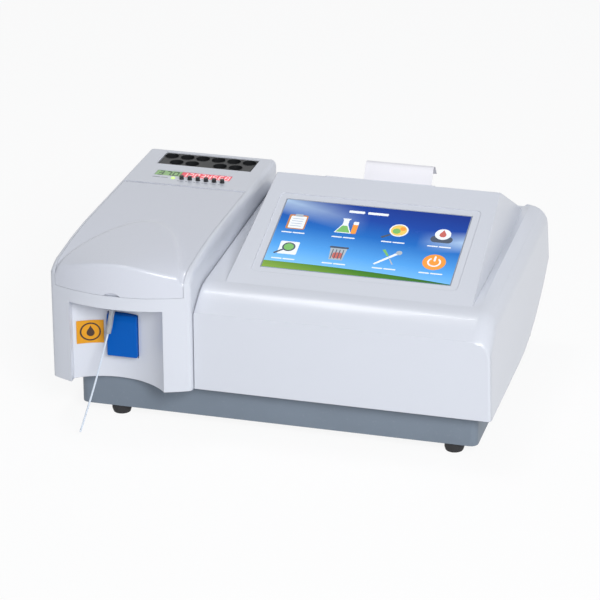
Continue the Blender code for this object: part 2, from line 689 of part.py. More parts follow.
def loft(rings):
    """A closed solid through unlike sections that have the same number of points."""
    form = bmesh.new()
    rows = [[form.verts.new(point) for point in ring] for ring in rings]
    for row, after in zip(rows, rows[1:]):
        for i in range(len(row)):
            j = (i + 1) % len(row)
            form.faces.new((row[i], row[j], after[j], after[i]))
    bmesh.ops.triangulate(form, faces=form.faces)
    form.faces.new(rows[0])
    form.faces.new(rows[-1][::-1])
    bmesh.ops.remove_doubles(form, verts=form.verts, dist=MERGE)
    return finished(form)


def rounded_rectangle(left, low, right, high, radius, steps=4):
    """Outline of a rectangle with round corners."""
    centres = ((right - radius, high - radius), (left + radius, high - radius),
               (left + radius, low + radius), (right - radius, low + radius))
    outline = []
    for quarter, (x, y) in enumerate(centres):
        for angle in spread(quarter * math.pi / 2, (quarter + 1) * math.pi / 2, steps + 1):
            outline.append((x + radius * math.cos(angle), y + radius * math.sin(angle)))
    return outline


def smooth_path(points, steps):
    """Points along a smooth curve through the given ones."""
    points = [Vector(point) for point in points]
    ends = [points[0] * 2 - points[1], *points, points[-1] * 2 - points[-2]]
    path = []
    for before, start, end, after in zip(ends, ends[1:], ends[2:], ends[3:]):
        for i in range(steps):
            t = i / steps
            bend = (before * 2 - start * 5 + end * 4 - after) * t**2
            bend += (start * 3 - before - end * 3 + after) * t**3
            path.append(start + ((end - before) * t + bend) / 2)
    return path + [points[-1]]


def path_between(path, high, low):
    """The stretch of a falling path between two heights."""
    stretch = []
    for start, end in zip(path, path[1:]):
        for level in (high, low):
            if start.z >= level > end.z:
                stretch.append(start.lerp(end, (start.z - level) / (start.z - end.z)))
        if high > end.z > low:
            stretch.append(end)
    return stretch


def look(name, colour, roughness, metallic=0.0, alpha=1.0):
    material = bpy.data.materials.new(name)
    material.use_nodes = True
    shader = material.node_tree.nodes["Principled BSDF"]
    shader.inputs["Base Color"].default_value = (*colour, 1)
    shader.inputs["Roughness"].default_value = roughness
    shader.inputs["Metallic"].default_value = metallic
    shader.inputs["Alpha"].default_value = alpha
    return material


def clear_scene():
    for thing in list(bpy.data.objects):
        bpy.data.objects.remove(thing)


def new_collection(name):
    group = bpy.data.collections.new(name)
    bpy.context.scene.collection.children.link(group)
    return group


def new_frame(name, parent, place, tilt=0.0):
    frame = bpy.data.objects.new(name, None)
    PARTS.objects.link(frame)
    frame.parent = parent
    frame.location = place
    frame.rotation_euler = (tilt, 0, 0)
    return frame


clear_scene()
PARTS = new_collection("blood_chemistry_analyzer")
CUTTERS = new_collection("cutters")

WHITE = look("white_housing", (0.71, 0.73, 0.78), 0.38)
GREY = look("grey_base", (0.20, 0.24, 0.30), 0.5)
RUBBER = look("black_rubber", (0.02, 0.02, 0.022), 0.8)
DARK = look("dark_block", (0.055, 0.058, 0.065), 0.55)
BLACK = look("black_plastic", (0.018, 0.018, 0.02), 0.45)
BLUE = look("blue_key", (0.0, 0.10, 0.42), 0.3)
AMBER = look("amber_sticker", (0.80, 0.36, 0.03), 0.5)
GREEN_DISPLAY = look("green_display", (0.06, 0.35, 0.05), 0.25)
RED_DISPLAY = look("red_display", (0.55, 0.02, 0.04), 0.25)
GREEN_LAMP = look("green_lamp", (0.35, 0.75, 0.15), 0.3)
SCREEN = look("screen_glass", (0.02, 0.12, 0.45), 0.12)
STEEL = look("steel", (0.55, 0.56, 0.58), 0.3, metallic=1.0)
ALUMINIUM = look("aluminium", (0.62, 0.63, 0.65), 0.42, metallic=1.0)
TUBING = look("clear_tubing", (0.80, 0.82, 0.84), 0.25)
SILICONE = look("orange_silicone", (0.55, 0.16, 0.03), 0.6)
CIRCUIT = look("circuit_board", (0.02, 0.16, 0.07), 0.45)
GLASS = look("lamp_glass", (0.85, 0.87, 0.9), 0.08, alpha=0.4)
PAPER = look("thermal_paper", (0.86, 0.86, 0.88), 0.7)

INSTRUMENT = new_frame("instrument", None, (
    -(MODULE_LEFT + HOUSING_WIDTH + HOUSING_DRAFT) / 2, -(SIPPER_TIP_Y + HOUSING_DEPTH) / 2, 0))
PANEL_AXES = new_frame("panel_axes", INSTRUMENT, ((WEDGE_LEFT + WEDGE_RIGHT) / 2, BAND_DEPTH, SHOULDER_Z),
    WEDGE_TILT)
DECK_TOP_SHARE, DECK_FOOT_SHARE = DECK_DROP_SHARES[1], DECK_DROP_SHARES[2]
DECK_TOP_Y = CREST_Y + DECK_TOP_SHARE[0] * DECK_LENGTH
DECK_TOP_Z = lerp(DECK_END_Z, CREST_Z, DECK_TOP_SHARE[1])
DECK_SLOPE = math.atan2((CREST_Z - DECK_END_Z) * (DECK_TOP_SHARE[1] - DECK_FOOT_SHARE[1]),
                        DECK_LENGTH * (DECK_FOOT_SHARE[0] - DECK_TOP_SHARE[0]))
PRINTER_AXES = new_frame("printer_axes", INSTRUMENT, (PRINTER_X, DECK_TOP_Y, DECK_TOP_Z), -DECK_SLOPE)


def part(name, mesh, material, origin=(0, 0, 0), frame=INSTRUMENT):
    """A node of the object. Its mesh is drawn in its frame, and its own origin is put at the point given."""
    mesh.name = name
    mesh.transform(Matrix.Translation(-Vector(origin)))
    mesh.materials.append(material)
    node = bpy.data.objects.new(name, mesh)
    PARTS.objects.link(node)
    node.parent = frame
    node.location = origin
    return node


def turned(name, profile, material, origin, axis="Z", frame=INSTRUMENT, sides=ROUND_SIDES):
    """A turned piece: (radius, height) pairs down its outer side, swept round an axis through its origin."""
    mesh = bpy.data.meshes.new(name)
    edges = [(i, i + 1) for i in range(len(profile) - 1)]
    if profile[0][0] > 0:
        edges.append((len(profile) - 1, 0))
    mesh.from_pydata([(radius, 0, height) for radius, height in profile], edges, [])
    node = part(name, mesh, material, frame=frame)
    node.location = origin
    node.rotation_euler = {"X": (0, math.pi / 2, 0), "Y": (-math.pi / 2, 0, 0), "Z": (0, 0, 0)}[axis]
    sweep = node.modifiers.new("turn", "SCREW")
    sweep.steps = sides
    sweep.render_steps = sides
    sweep.use_merge_vertices = True
    sweep.merge_threshold = MERGE
    return node


def tube(name, points, radius, material, frame=INSTRUMENT):
    """A round tube along a path."""
    curve = bpy.data.curves.new(name, "CURVE")
    curve.dimensions = "3D"
    curve.bevel_depth = radius
    curve.bevel_resolution = 2
    curve.use_fill_caps = True
    spline = curve.splines.new("POLY")
    spline.points.add(len(points) - 1)
    for spot, point in zip(spline.points, points):
        spot.co = (*point, 1)
    curve.materials.append(material)
    node = bpy.data.objects.new(name, curve)
    PARTS.objects.link(node)
    node.parent = frame
    return node


def tube_mesh(points, radius):
    """The same tube as a closed mesh, for a piece that is cut or cuts."""
    draft = tube("draft", points, radius, STEEL)
    mesh = bpy.data.meshes.new_from_object(draft.evaluated_get(bpy.context.evaluated_depsgraph_get()))
    form = bmesh.new()
    form.from_mesh(mesh)
    bmesh.ops.remove_doubles(form, verts=form.verts, dist=MERGE)
    bpy.data.objects.remove(draft)
    return finished(form)


def helper(name, mesh, frame=INSTRUMENT):
    """A cutter, or a shape that is joined on."""
    tool = bpy.data.objects.new(name, mesh)
    CUTTERS.objects.link(tool)
    tool.parent = frame
    tool.hide_render = True
    tool.display_type = "WIRE"
    return tool


def combine(node, operation, label, mesh, frame):
    tool = helper(node.name + "_" + label, mesh, frame or node.parent)
    change = node.modifiers.new(label, "BOOLEAN")
    change.operation = operation
    change.object = tool
    return tool


def cut(node, label, mesh, frame=None):
    return combine(node, "DIFFERENCE", label, mesh, frame)


def join(node, label, mesh, frame=None):
    return combine(node, "UNION", label, mesh, frame)


def soften(node, width, segments=2, angle=math.radians(40)):
    edges = node.modifiers.new("edges", "BEVEL")
    edges.width = width
    edges.segments = segments
    edges.limit_method = "ANGLE"
    edges.angle_limit = angle
    return edges


def skirt_block(left, right, lift, end):
    """Everything between the housings' swept lower edge, lifted, and a level plane."""
    rear = HOUSING_DEPTH + SKIRT_RISE
    line = [(FRONT_REACH, SKIRT_Z + lift)]
    line += [(y, skirt_height(y) + lift) for y in spread(SKIRT_RISE_START, HOUSING_DEPTH, 7)]
    line += [(rear, SKIRT_REAR_Z + lift), (rear, end), (FRONT_REACH, end)]
    return prism(line, left, right, "X")


def housing_ring(station, inset=0.0, shift=0.0, leaned=False, rounding=0.0):
    """Section of the main housing across X at a station along Y, drawn a wall's thickness inside if inset."""
    left = SEAM_GAP / 2 + inset
    right = HOUSING_WIDTH - inset - rounding
    low = -OVERRUN if inset else SKIRT_Z - OVERRUN
    rise = wedge_height(station)
    shoulder = shoulder_height(station) - inset
    top = shoulder + rise
    swell = SHOULDER_SWELL * (1 if station > CREST_Y else smooth_step(rise / SHOULDER_RADIUS))
    lobe = SHOULDER_RADIUS - inset
    edge = min(WEDGE_EDGE, rise / 2)
    lean = WEDGE_LEAN_SHARE * rise
    wedge_left = WEDGE_LEFT + inset + lean
    wedge_right = WEDGE_RIGHT - inset - lean
    points = [
        (left, low), (left, shoulder - WEDGE_EDGE), (left + WEDGE_EDGE, shoulder), (WEDGE_LEFT + inset,
            shoulder),
        (wedge_left + WEDGE_EDGE / 2, top - edge / 2), (wedge_left + WEDGE_EDGE, top),
        (wedge_right - WEDGE_EDGE, top), (wedge_right - WEDGE_EDGE / 2, top - edge / 2),
        (WEDGE_RIGHT - inset, shoulder)]
    for angle in spread(math.pi / 2, 0, 6):
        points.append((right - lobe + lobe * math.cos(angle),
            shoulder + swell - lobe + lobe * math.sin(angle)))
    points.append((right + HOUSING_DRAFT, low))
    tip = REAR_LEAN_SHARE if leaned else 0.0
    return [(x, station + shift - tip * (z - SKIRT_REAR_Z), z) for x, z in points]


def housing_rings(inset=0.0):
    rings = []
    for station in [EDGE_RADIUS * share for share in (0, 0.3, 1)] + spread(BAND_DEPTH / 4, BAND_DEPTH, 4):
        shift = inset * (1 - station / BAND_DEPTH)
        rings.append(housing_ring(station, inset, shift, rounding=edge_inset(station, EDGE_RADIUS)))
    for station in [(BAND_DEPTH + CREST_Y) / 2] + [CREST_Y + share * DECK_LENGTH for share, _ in DECK_DROP_SHARES]:
        rings.append(housing_ring(station, inset))
    for distance in [0.0] if inset else [EDGE_RADIUS, EDGE_RADIUS * 0.3, 0.0]:
        rounding = 0.0 if inset else edge_inset(distance, EDGE_RADIUS)
        rings.append(housing_ring(HOUSING_DEPTH - distance, inset, shift=-inset, leaned=True,
            rounding=rounding))
    return rings


def screen_outline(margin, corner):
    left = SCREEN_SHIFT - SCREEN_WIDTH / 2 - margin
    low = SCREEN_START - margin
    return rounded_rectangle(
        left, low, left + SCREEN_WIDTH + 2 * margin, low + SCREEN_LENGTH + 2 * margin, corner)


def build_main_housing():
    housing = part("main_housing", loft(housing_rings()), WHITE)
    cut(housing, "hollow", loft(housing_rings(WALL)))
    cut(housing, "skirt", skirt_block(-OVERRUN, HOUSING_WIDTH + HOUSING_DRAFT + OVERRUN, 0, -OVERRUN * 2))
    posts = []
    for x in (POST_LEFT_X, BASE_RIGHT - BASE_WALL - POST_MARGIN - POST_RADIUS):
        for y in (POST_FRONT_Y, BASE_REAR - BASE_WALL - POST_MARGIN - 2 * POST_RADIUS):
            top = shoulder_height(y - POST_RADIUS) - WALL / 4
            posts.append(((x, y, FLOOR_TOP + GAP), (x, y, top), POST_RADIUS))
    join(housing, "posts", rods(*posts, sides=FINE_SIDES))
    cut(housing, "beam_port", rods(((0, BEAM_Y, BEAM_Z), (WALL + OVERRUN, BEAM_Y, BEAM_Z), BEAM_PORT)))
    cut(housing, "screen_window", prism(screen_outline(GAP, GAP), -WALL - OVERRUN, OVERRUN), PANEL_AXES)
    cut(housing, "screen_recess", prism(
        screen_outline(RECESS_MARGIN, SCREEN_RECESS_CORNER), -SCREEN_RECESS, OVERRUN), PANEL_AXES)
    cut(housing, "printer_opening", boxes((
        (-PRINTER_WIDTH / 2, PRINTER_START, -WALL - OVERRUN),
        (PRINTER_WIDTH / 2, PRINTER_START + PRINTER_LENGTH, OVERRUN))), PRINTER_AXES)


def module_outline(inset=0.0):
    """Plan of the module: a convex front arc between straight sides."""
    left, right = MODULE_LEFT + inset, MODULE_RIGHT - inset
    front = [(x, front_arc_y(x, inset)) for x in spread(left, right, 13)]
    return front + [(right, HOUSING_DEPTH - inset), (left, HOUSING_DEPTH - inset)]


def module_ring(y):
    """Section of the module across X: rounded top edges under the roof line, and flared below the sides."""
    top = max(roof_height(y), LID_SEAM_Z + CHEEK_ROUND)
    low = SKIRT_Z - OVERRUN
    edge = []
    for angle in spread(0, math.pi / 2, 5):
        edge.append((CHEEK_WIDTH * (1 - math.cos(angle)), top - CHEEK_ROUND * (1 - math.sin(angle))))
    left = [(MODULE_LEFT - OVERRUN, low)] + [(MODULE_LEFT + inset, z) for inset, z in edge]
    right = [(MODULE_RIGHT - inset, z) for inset, z in reversed(edge)] + [(MODULE_RIGHT + OVERRUN, low)]
    return [(x, y, z) for x, z in left + right]


def recess_outline(grow=0.0):
    left, right = MODULE_X + RECESS_LEFT - grow, MODULE_X + RECESS_RIGHT + grow
    wall = [(x, recess_wall_y(x, grow)) for x in spread(left, right, 15)]
    return wall + [(right, FRONT_REACH), (left, FRONT_REACH)]


def paddle_box(side, below, above, front, rear):
    """A block round the aspirate key, with margins at its sides, below and above."""
    half = PADDLE_WIDTH / 2 + side
    return boxes(((PADDLE_X - half, front, PADDLE_BOTTOM - below),
        (PADDLE_X + half, rear, PADDLE_TOP + above)))


def build_module_housing():
    stations = spread(FRONT_REACH, ROLL_START, 9) + spread(ROLL_START, ROOF_FALL_START, 6)[1:]
    rings = [module_ring(y) for y in stations + [HOUSING_DEPTH + OVERRUN]]
    housing = part("module_housing", loft(rings), WHITE)
    plan = combine(housing, "INTERSECT", "plan", prism(module_outline(), 0, CEILING), None)
    soften(plan, MODULE_CORNER, 3)
    hollow = cut(housing, "hollow", prism(module_outline(WALL), -OVERRUN, COMPARTMENT_UNDER))
    cut(hollow, "recess_wall", prism(recess_outline(WALL), -OVERRUN * 2, CEILING))
    cut(hollow, "key_frame", paddle_box(
        RUNNING_GAP + PADDLE_FRAME, PADDLE_SWING_GAP + PADDLE_FRAME, CHEEK_ROUND,
        PADDLE_FRONT - PADDLE_DEPTH, PADDLE_WELL_REAR + PADDLE_FRAME))
    side = CHEEK_WIDTH + WALL
    cut(housing, "rear_cavity", boxes((
        (MODULE_LEFT + side, REAR_CAVITY_START, REAR_CAVITY_FLOOR),
        (MODULE_RIGHT - side, HOUSING_DEPTH - WALL, ROOF_UNDER))))
    cut(housing, "skirt", skirt_block(MODULE_LEFT - OVERRUN, OVERRUN, 0, -OVERRUN))
    cut(housing, "recess", prism(recess_outline(), 0, RECESS_TOP))
    cut(housing, "lid_opening", boxes((
        (LID_LEFT - RUNNING_GAP, FRONT_REACH, LID_SEAM_Z), (LID_RIGHT + RUNNING_GAP, LID_REAR_EDGE,
            CEILING))))
    cut(housing, "compartment", boxes((
        (MODULE_LEFT + COMPARTMENT_SIDE, COMPARTMENT_FRONT, COMPARTMENT_FLOOR),
        (MODULE_RIGHT - COMPARTMENT_SIDE, LID_HINGE_Y, LID_SEAM_Z + OVERRUN))))
    cut(housing, "shelf", boxes((
        (MODULE_X - SHELF_WIDTH / 2, COMPARTMENT_FRONT - SHELF_DEPTH, SHELF_Z),
        (MODULE_X + SHELF_WIDTH / 2, COMPARTMENT_FRONT + OVERRUN, LID_SEAM_Z + OVERRUN))))
    cut(housing, "tube_port", rods(((PORT_X, PORT_Y, RECESS_TOP - OVERRUN),
        (PORT_X, PORT_Y, CEILING), PORT_BORE)))
    cut(housing, "key_well", paddle_box(RUNNING_GAP, PADDLE_SWING_GAP, RUNNING_GAP, FRONT_REACH,
        PADDLE_WELL_REAR))
    cut_module_bores(housing)
    cut_module_deck(housing)
    posts = []
    for x in (MODULE_X - MODULE_POST_X, MODULE_X + MODULE_POST_X):
        for y in (MODULE_POST_FRONT_Y, MODULE_POST_REAR_Y):
            posts.append(((x, y, FLOOR_TOP + GAP), (x, y, COMPARTMENT_FLOOR - WALL / 2), POST_RADIUS))
    join(housing, "posts", rods(*posts, sides=FINE_SIDES))


def cut_module_bores(housing):
    reach = PADDLE_WIDTH / 2 + RUNNING_GAP + PADDLE_PIN_SEAT + GAP
    cut(housing, "key_pin_bores", rods((
        (PADDLE_X - reach, PADDLE_PIN_Y, PADDLE_PIN_Z), (PADDLE_X + reach, PADDLE_PIN_Y, PADDLE_PIN_Z),
        PADDLE_PIN_RADIUS + GAP), sides=FINE_SIDES))
    plunger_z = PADDLE_BOTTOM + MICRO_SWITCH_ABOVE + MICRO_SWITCH_HEIGHT / 2
    cut(housing, "plunger_hole", rods((
        (PADDLE_X, PADDLE_REAR, plunger_z), (PADDLE_X, PADDLE_WELL_REAR + PADDLE_FRAME + OVERRUN, plunger_z),
        PLUNGER_RADIUS + GAP), sides=FINE_SIDES))
    reach = RUNNING_GAP + LID_PIN_SEAT + GAP
    cut(housing, "hinge_bores", rods((
        (LID_LEFT - reach, LID_HINGE_Y, LID_HINGE_Z), (LID_RIGHT + reach, LID_HINGE_Y, LID_HINGE_Z),
        LID_PIN_RADIUS + GAP), sides=FINE_SIDES))
    cut(housing, "beam_port", rods((
        (MODULE_RIGHT - COMPARTMENT_SIDE - OVERRUN, BEAM_Y, BEAM_Z), (OVERRUN, BEAM_Y, BEAM_Z), BEAM_PORT)))
    cut(housing, "pump_shaft_hole", rods((
        (CELL_X, PUMP_Y, COMPARTMENT_UNDER - OVERRUN), (CELL_X, PUMP_Y, COMPARTMENT_FLOOR + OVERRUN),
        PUMP_SHAFT_RADIUS + RUNNING_GAP)))


def cut_module_deck(housing):
    """Openings in the level deck for the incubator block, the displays, the keys and the lamp."""
    under = ROOF_UNDER - OVERRUN
    block_x, block_y = BLOCK_WIDTH / 2 + GAP, BLOCK_LENGTH / 2 + GAP
    cut(housing, "deck_windows", boxes(
        ((BLOCK_X - block_x, BLOCK_Y - block_y, under), (BLOCK_X + block_x, BLOCK_Y + block_y, CEILING)),
        ((STRIP_LEFT - GAP, STRIP_FRONT - GAP, under), (STRIP_RIGHT + GAP, STRIP_REAR + GAP, CEILING))))
    holes = [(KEY_X + i * KEY_PITCH, KEY_RADIUS + GAP) for i in range(KEY_COUNT)]
    holes.append((LAMP_DOT_X, LAMP_DOT_RADIUS + GAP))
    cut(housing, "deck_holes", rods(*(
        ((x, KEY_Y, under), (x, KEY_Y, CEILING), radius) for x, radius in holes), sides=FINE_SIDES))


def lid_ring(x, inset=0.0):
    """Section of the lid along Y, from the lower front edge over the crest to the hinge."""
    front = front_arc_y(x, inset)
    low = LID_SEAM_Z - OVERRUN if inset else LID_SEAM_Z + GAP
    rear = LID_HINGE_Y + (OVERRUN if inset else 0)
    points = [(front, low)]
    for angle in spread(0, math.pi / 2, 4):
        y = front + LID_EDGE_RADIUS * (1 - math.cos(angle))
        points.append((y, lid_height(x, y) - inset - LID_EDGE_RADIUS * (1 - math.sin(angle))))
    start = front + LID_EDGE_RADIUS
    for share in LID_RUN_SHARES:
        y = lerp(start, rear, share)
        points.append((y, lid_height(x, y) - inset))
    points.append((rear, low))
    return [(x, y, z) for y, z in points]


def build_lid():
    rings = [lid_ring(x) for x in spread(LID_LEFT, LID_RIGHT, LID_STATIONS)]
    inner = [lid_ring(x, LID_WALL) for x in spread(LID_LEFT + LID_WALL, LID_RIGHT - LID_WALL, LID_STATIONS)]
    hinge = (MODULE_X, LID_HINGE_Y, LID_HINGE_Z)
    lid = part("flow_cell_lid", loft(rings), WHITE, hinge)
    cut(lid, "inside", loft(inner))
    join(lid, "knuckle", rods((
        (LID_LEFT, LID_HINGE_Y, LID_HINGE_Z), (LID_RIGHT, LID_HINGE_Y, LID_HINGE_Z), LID_KNUCKLE)))
    cut(lid, "bore", rods((
        (LID_LEFT - OVERRUN, LID_HINGE_Y, LID_HINGE_Z), (LID_RIGHT + OVERRUN, LID_HINGE_Y, LID_HINGE_Z),
        LID_PIN_RADIUS + GAP), sides=FINE_SIDES))
    notch_x = MODULE_X + NOTCH_SHIFT
    notch_z = LID_SEAM_Z + NOTCH_HEIGHT - NOTCH_RADIUS
    cut(lid, "thumb_notch", rods((
        (notch_x, FRONT_REACH, notch_z), (notch_x, PORT_Y, notch_z), NOTCH_RADIUS)))
    reach = RUNNING_GAP + LID_PIN_SEAT
    part("lid_hinge_pin", rods((
        (LID_LEFT - reach, LID_HINGE_Y, LID_HINGE_Z), (LID_RIGHT + reach, LID_HINGE_Y, LID_HINGE_Z),
        LID_PIN_RADIUS), sides=FINE_SIDES), STEEL, hinge)


def inlet_block(grow, front, rear):
    """The plug socket and the switch bay share one outline, grown for a flange or a hole."""
    return ((INLET_LEFT - grow, front, INLET_Z - INLET_HALF_HEIGHT - grow),
            (INLET_RIGHT + grow, rear, INLET_Z + INLET_HALF_HEIGHT + grow))


def serial_block(width, height, front, rear):
    return ((SERIAL_X - width / 2, front, SERIAL_Z - height / 2), (SERIAL_X + width / 2, rear,
        SERIAL_Z + height / 2))


def build_base_tray():
    top = SKIRT_REAR_Z + BASE_OVERLAP + OVERRUN
    outline = rounded_rectangle(BASE_LEFT, BASE_FRONT, BASE_RIGHT, BASE_REAR, BASE_CORNER)
    inside = rounded_rectangle(
        BASE_LEFT + BASE_WALL, BASE_FRONT + BASE_WALL, BASE_RIGHT - BASE_WALL, BASE_REAR - BASE_WALL,
        BASE_CORNER - BASE_WALL)
    tray = part("base_tray", prism(outline, FOOT_HEIGHT, top), GREY)
    cut(tray, "inside", prism(inside, FLOOR_TOP, top + OVERRUN))
    cut(tray, "rim", skirt_block(BASE_LEFT - OVERRUN, BASE_RIGHT + OVERRUN, BASE_OVERLAP, CEILING))
    half = SEAM_GAP / 2 + WALL + RUNNING_GAP
    cut(tray, "seam_slots", skirt_block(-half, half, -RUNNING_GAP, CEILING))
    front, rear = BASE_REAR - BASE_WALL - OVERRUN, BASE_REAR + OVERRUN
    openings = [inlet_block(GAP, front, rear)]
    openings.append(serial_block(SERIAL_BODY_WIDTH + 2 * GAP, SERIAL_BODY_HEIGHT + 2 * GAP, front, rear))
    slot_bottom = FAN_Z - ((GRILLE_SLOTS - 1) * GRILLE_PITCH + GRILLE_SLOT) / 2
    half = FAN_BORE - FAN_RIM
    for i in range(GRILLE_SLOTS):
        z = slot_bottom + i * GRILLE_PITCH
        openings.append(((FAN_X - half, front, z), (FAN_X + half, rear, z + GRILLE_SLOT)))
    cut(tray, "rear_openings", boxes(*openings))
    cut(tray, "terminal_hole", rods((
        (BASE_RIGHT - BASE_WALL - OVERRUN, TERMINAL_Y, TERMINAL_Z), (BASE_RIGHT + OVERRUN, TERMINAL_Y,
            TERMINAL_Z),
        STUD_RADIUS + GAP), sides=FINE_SIDES))


def build_feet():
    top = FOOT_HEIGHT - GAP
    profile = [(0, top), (FOOT_RADIUS, top), (FOOT_RADIUS, FOOT_TREAD), (FOOT_RADIUS - FOOT_TAPER, 0),
               (FOOT_SCREW_RADIUS, 0), (FOOT_SCREW_RADIUS, FOOT_SCREW_DEPTH), (0, FOOT_SCREW_DEPTH)]
    number = 0
    for x in (BASE_LEFT + FOOT_LEFT_INSET, BASE_RIGHT - FOOT_RIGHT_INSET):
        for y in (BASE_FRONT + FOOT_FRONT_INSET, BASE_REAR - FOOT_REAR_INSET):
            number += 1
            turned(f"foot_{number}", profile, RUBBER, (x, y, 0))


def build_ground_terminal():
    inner = -BASE_WALL - STUD_REACH
    outer = GAP + TERMINAL_LENGTH
    profile = [(0, outer + STUD_PROUD), (STUD_RADIUS, outer + STUD_PROUD), (STUD_RADIUS, outer),
               (TERMINAL_RADIUS, outer), (TERMINAL_RADIUS, GAP), (STUD_RADIUS, GAP), (STUD_RADIUS,
                   inner), (0, inner)]
    turned("ground_terminal", profile, STEEL, (BASE_RIGHT, TERMINAL_Y, TERMINAL_Z), "X", sides=FINE_SIDES)


def build_incubator():
    half, rear = BLOCK_WIDTH / 2, BLOCK_LENGTH / 2
    block = part("incubator_block", boxes((
        (BLOCK_X - half, BLOCK_Y - rear, BLOCK_BOTTOM), (BLOCK_X + half, BLOCK_Y + rear, BLOCK_TOP))), DARK)
    soften(block, BLOCK_EDGE, 1)
    flange_top = ROOF_UNDER - GAP
    join(block, "flange", boxes((
        (BLOCK_X - half - BLOCK_FLANGE, BLOCK_Y - rear + BLOCK_EDGE * 2, flange_top - BLOCK_FLANGE),
        (BLOCK_X + half + BLOCK_FLANGE, BLOCK_Y + rear - BLOCK_EDGE * 2, flange_top))))
    row_rear = BLOCK_Y + WELL_ROW_PITCH / 2
    row_front = BLOCK_Y - WELL_ROW_PITCH / 2
    wells = [(BLOCK_X + (i - (REAR_WELLS - 1) / 2) * WELL_PITCH, row_rear) for i in range(REAR_WELLS)]
    for side in (-1, 1):
        wells.append((BLOCK_X + side * WELL_FRONT_OFFSET, row_front))
        wells.append((BLOCK_X + side * (WELL_FRONT_OFFSET + WELL_PITCH), row_front))
    cut(block, "wells", rods(*(
        ((x, y, BLOCK_TOP - WELL_DEPTH), (x, y, BLOCK_TOP + OVERRUN), WELL_RADIUS) for x, y in wells)))
    heater_top = BLOCK_BOTTOM - GAP
    part("incubator_heater", boxes((
        (BLOCK_X - half + HEATER_MARGIN, BLOCK_Y - rear + HEATER_MARGIN, heater_top - HEATER_THICKNESS),
        (BLOCK_X + half - HEATER_MARGIN, BLOCK_Y + rear - HEATER_MARGIN, heater_top))), SILICONE)


def build_timer_strip():
    bottom = BOARD_TOP + GAP
    top = ROOF_Z - DISPLAY_SUNK
    middle = STRIP_LEFT + TEMPERATURE_WIDTH
    part("temperature_display", boxes((
        (STRIP_LEFT, STRIP_FRONT, bottom), (middle, STRIP_REAR, top))), GREEN_DISPLAY)
    part("timer_display", boxes((
        (middle + DISPLAY_SPACING, STRIP_FRONT, bottom), (STRIP_RIGHT, STRIP_REAR, top))), RED_DISPLAY)
    part("status_led", rods((
        (LAMP_DOT_X, KEY_Y, bottom), (LAMP_DOT_X, KEY_Y, ROOF_Z + LAMP_DOT_PROUD), LAMP_DOT_RADIUS),
        sides=FINE_SIDES), GREEN_LAMP)
    keys = [KEY_X + i * KEY_PITCH for i in range(KEY_COUNT)]
    board = part("display_board", boxes((
        (STRIP_LEFT - BOARD_MARGIN, KEY_Y - BOARD_MARGIN, BOARD_TOP - BOARD_THICKNESS),
        (STRIP_RIGHT + BOARD_MARGIN, STRIP_REAR + BOARD_MARGIN, BOARD_TOP))), CIRCUIT)
    join(board, "tact_switches", boxes(*(
        ((x - TACT_SIDE / 2, KEY_Y - TACT_SIDE / 2, BOARD_TOP - BOARD_THICKNESS / 2),
         (x + TACT_SIDE / 2, KEY_Y + TACT_SIDE / 2, BOARD_TOP + TACT_SIDE / 2)) for x in keys)))
    collar_top = ROOF_UNDER - GAP
    collar = KEY_RADIUS + KEY_COLLAR
    profile = [(0, ROOF_Z + KEY_PROUD), (KEY_RADIUS, ROOF_Z + KEY_PROUD), (KEY_RADIUS, collar_top),
               (collar, collar_top), (collar, collar_top - KEY_COLLAR_HEIGHT),
               (KEY_RADIUS, collar_top - KEY_COLLAR_HEIGHT), (KEY_RADIUS, KEY_BOTTOM), (0, KEY_BOTTOM)]
    for number, x in enumerate(keys, 1):
        turned(f"key_{number}", [(r, z - ROOF_Z) for r, z in profile], BLACK, (x, KEY_Y, ROOF_Z),
            sides=FINE_SIDES)


def build_aspirate_key():
    half = PADDLE_WIDTH / 2
    left, right = PADDLE_X - half, PADDLE_X + half
    pivot = (PADDLE_X, PADDLE_PIN_Y, PADDLE_PIN_Z)
    outline = [(PADDLE_FRONT, PADDLE_BOTTOM), (PADDLE_REAR, PADDLE_BOTTOM), (PADDLE_REAR, PADDLE_TOP),
               (PADDLE_FRONT + PADDLE_CHAMFER_DEPTH, PADDLE_TOP), (PADDLE_FRONT,
                   PADDLE_TOP - PADDLE_CHAMFER_HEIGHT)]
    key = part("aspirate_key", prism(outline, left, right, "X"), BLUE, pivot)
    soften(key, PADDLE_EDGE, 2, math.radians(15))
    cut(key, "bore", rods((
        (left - OVERRUN, PADDLE_PIN_Y, PADDLE_PIN_Z), (right + OVERRUN, PADDLE_PIN_Y, PADDLE_PIN_Z),
        PADDLE_PIN_RADIUS + GAP), sides=FINE_SIDES))
    reach = RUNNING_GAP + PADDLE_PIN_SEAT
    part("aspirate_key_pin", rods((
        (left - reach, PADDLE_PIN_Y, PADDLE_PIN_Z), (right + reach, PADDLE_PIN_Y, PADDLE_PIN_Z),
        PADDLE_PIN_RADIUS), sides=FINE_SIDES), STEEL, pivot)
    front = PADDLE_WELL_REAR + PADDLE_FRAME + GAP
    low = PADDLE_BOTTOM + MICRO_SWITCH_ABOVE
    switch = part("aspirate_switch", boxes((
        (PADDLE_X - MICRO_SWITCH_WIDTH / 2, front, low),
        (PADDLE_X + MICRO_SWITCH_WIDTH / 2, front + MICRO_SWITCH_DEPTH, low + MICRO_SWITCH_HEIGHT))), BLACK)
    plunger_z = low + MICRO_SWITCH_HEIGHT / 2
    tip = PADDLE_REAR + (PADDLE_PIN_Z - plunger_z) * math.sin(PADDLE_TURN) + RUNNING_GAP
    join(switch, "plunger", rods((
        (PADDLE_X, tip, plunger_z), (PADDLE_X, front + MICRO_SWITCH_DEPTH / 2, plunger_z), PLUNGER_RADIUS),
        sides=FINE_SIDES))


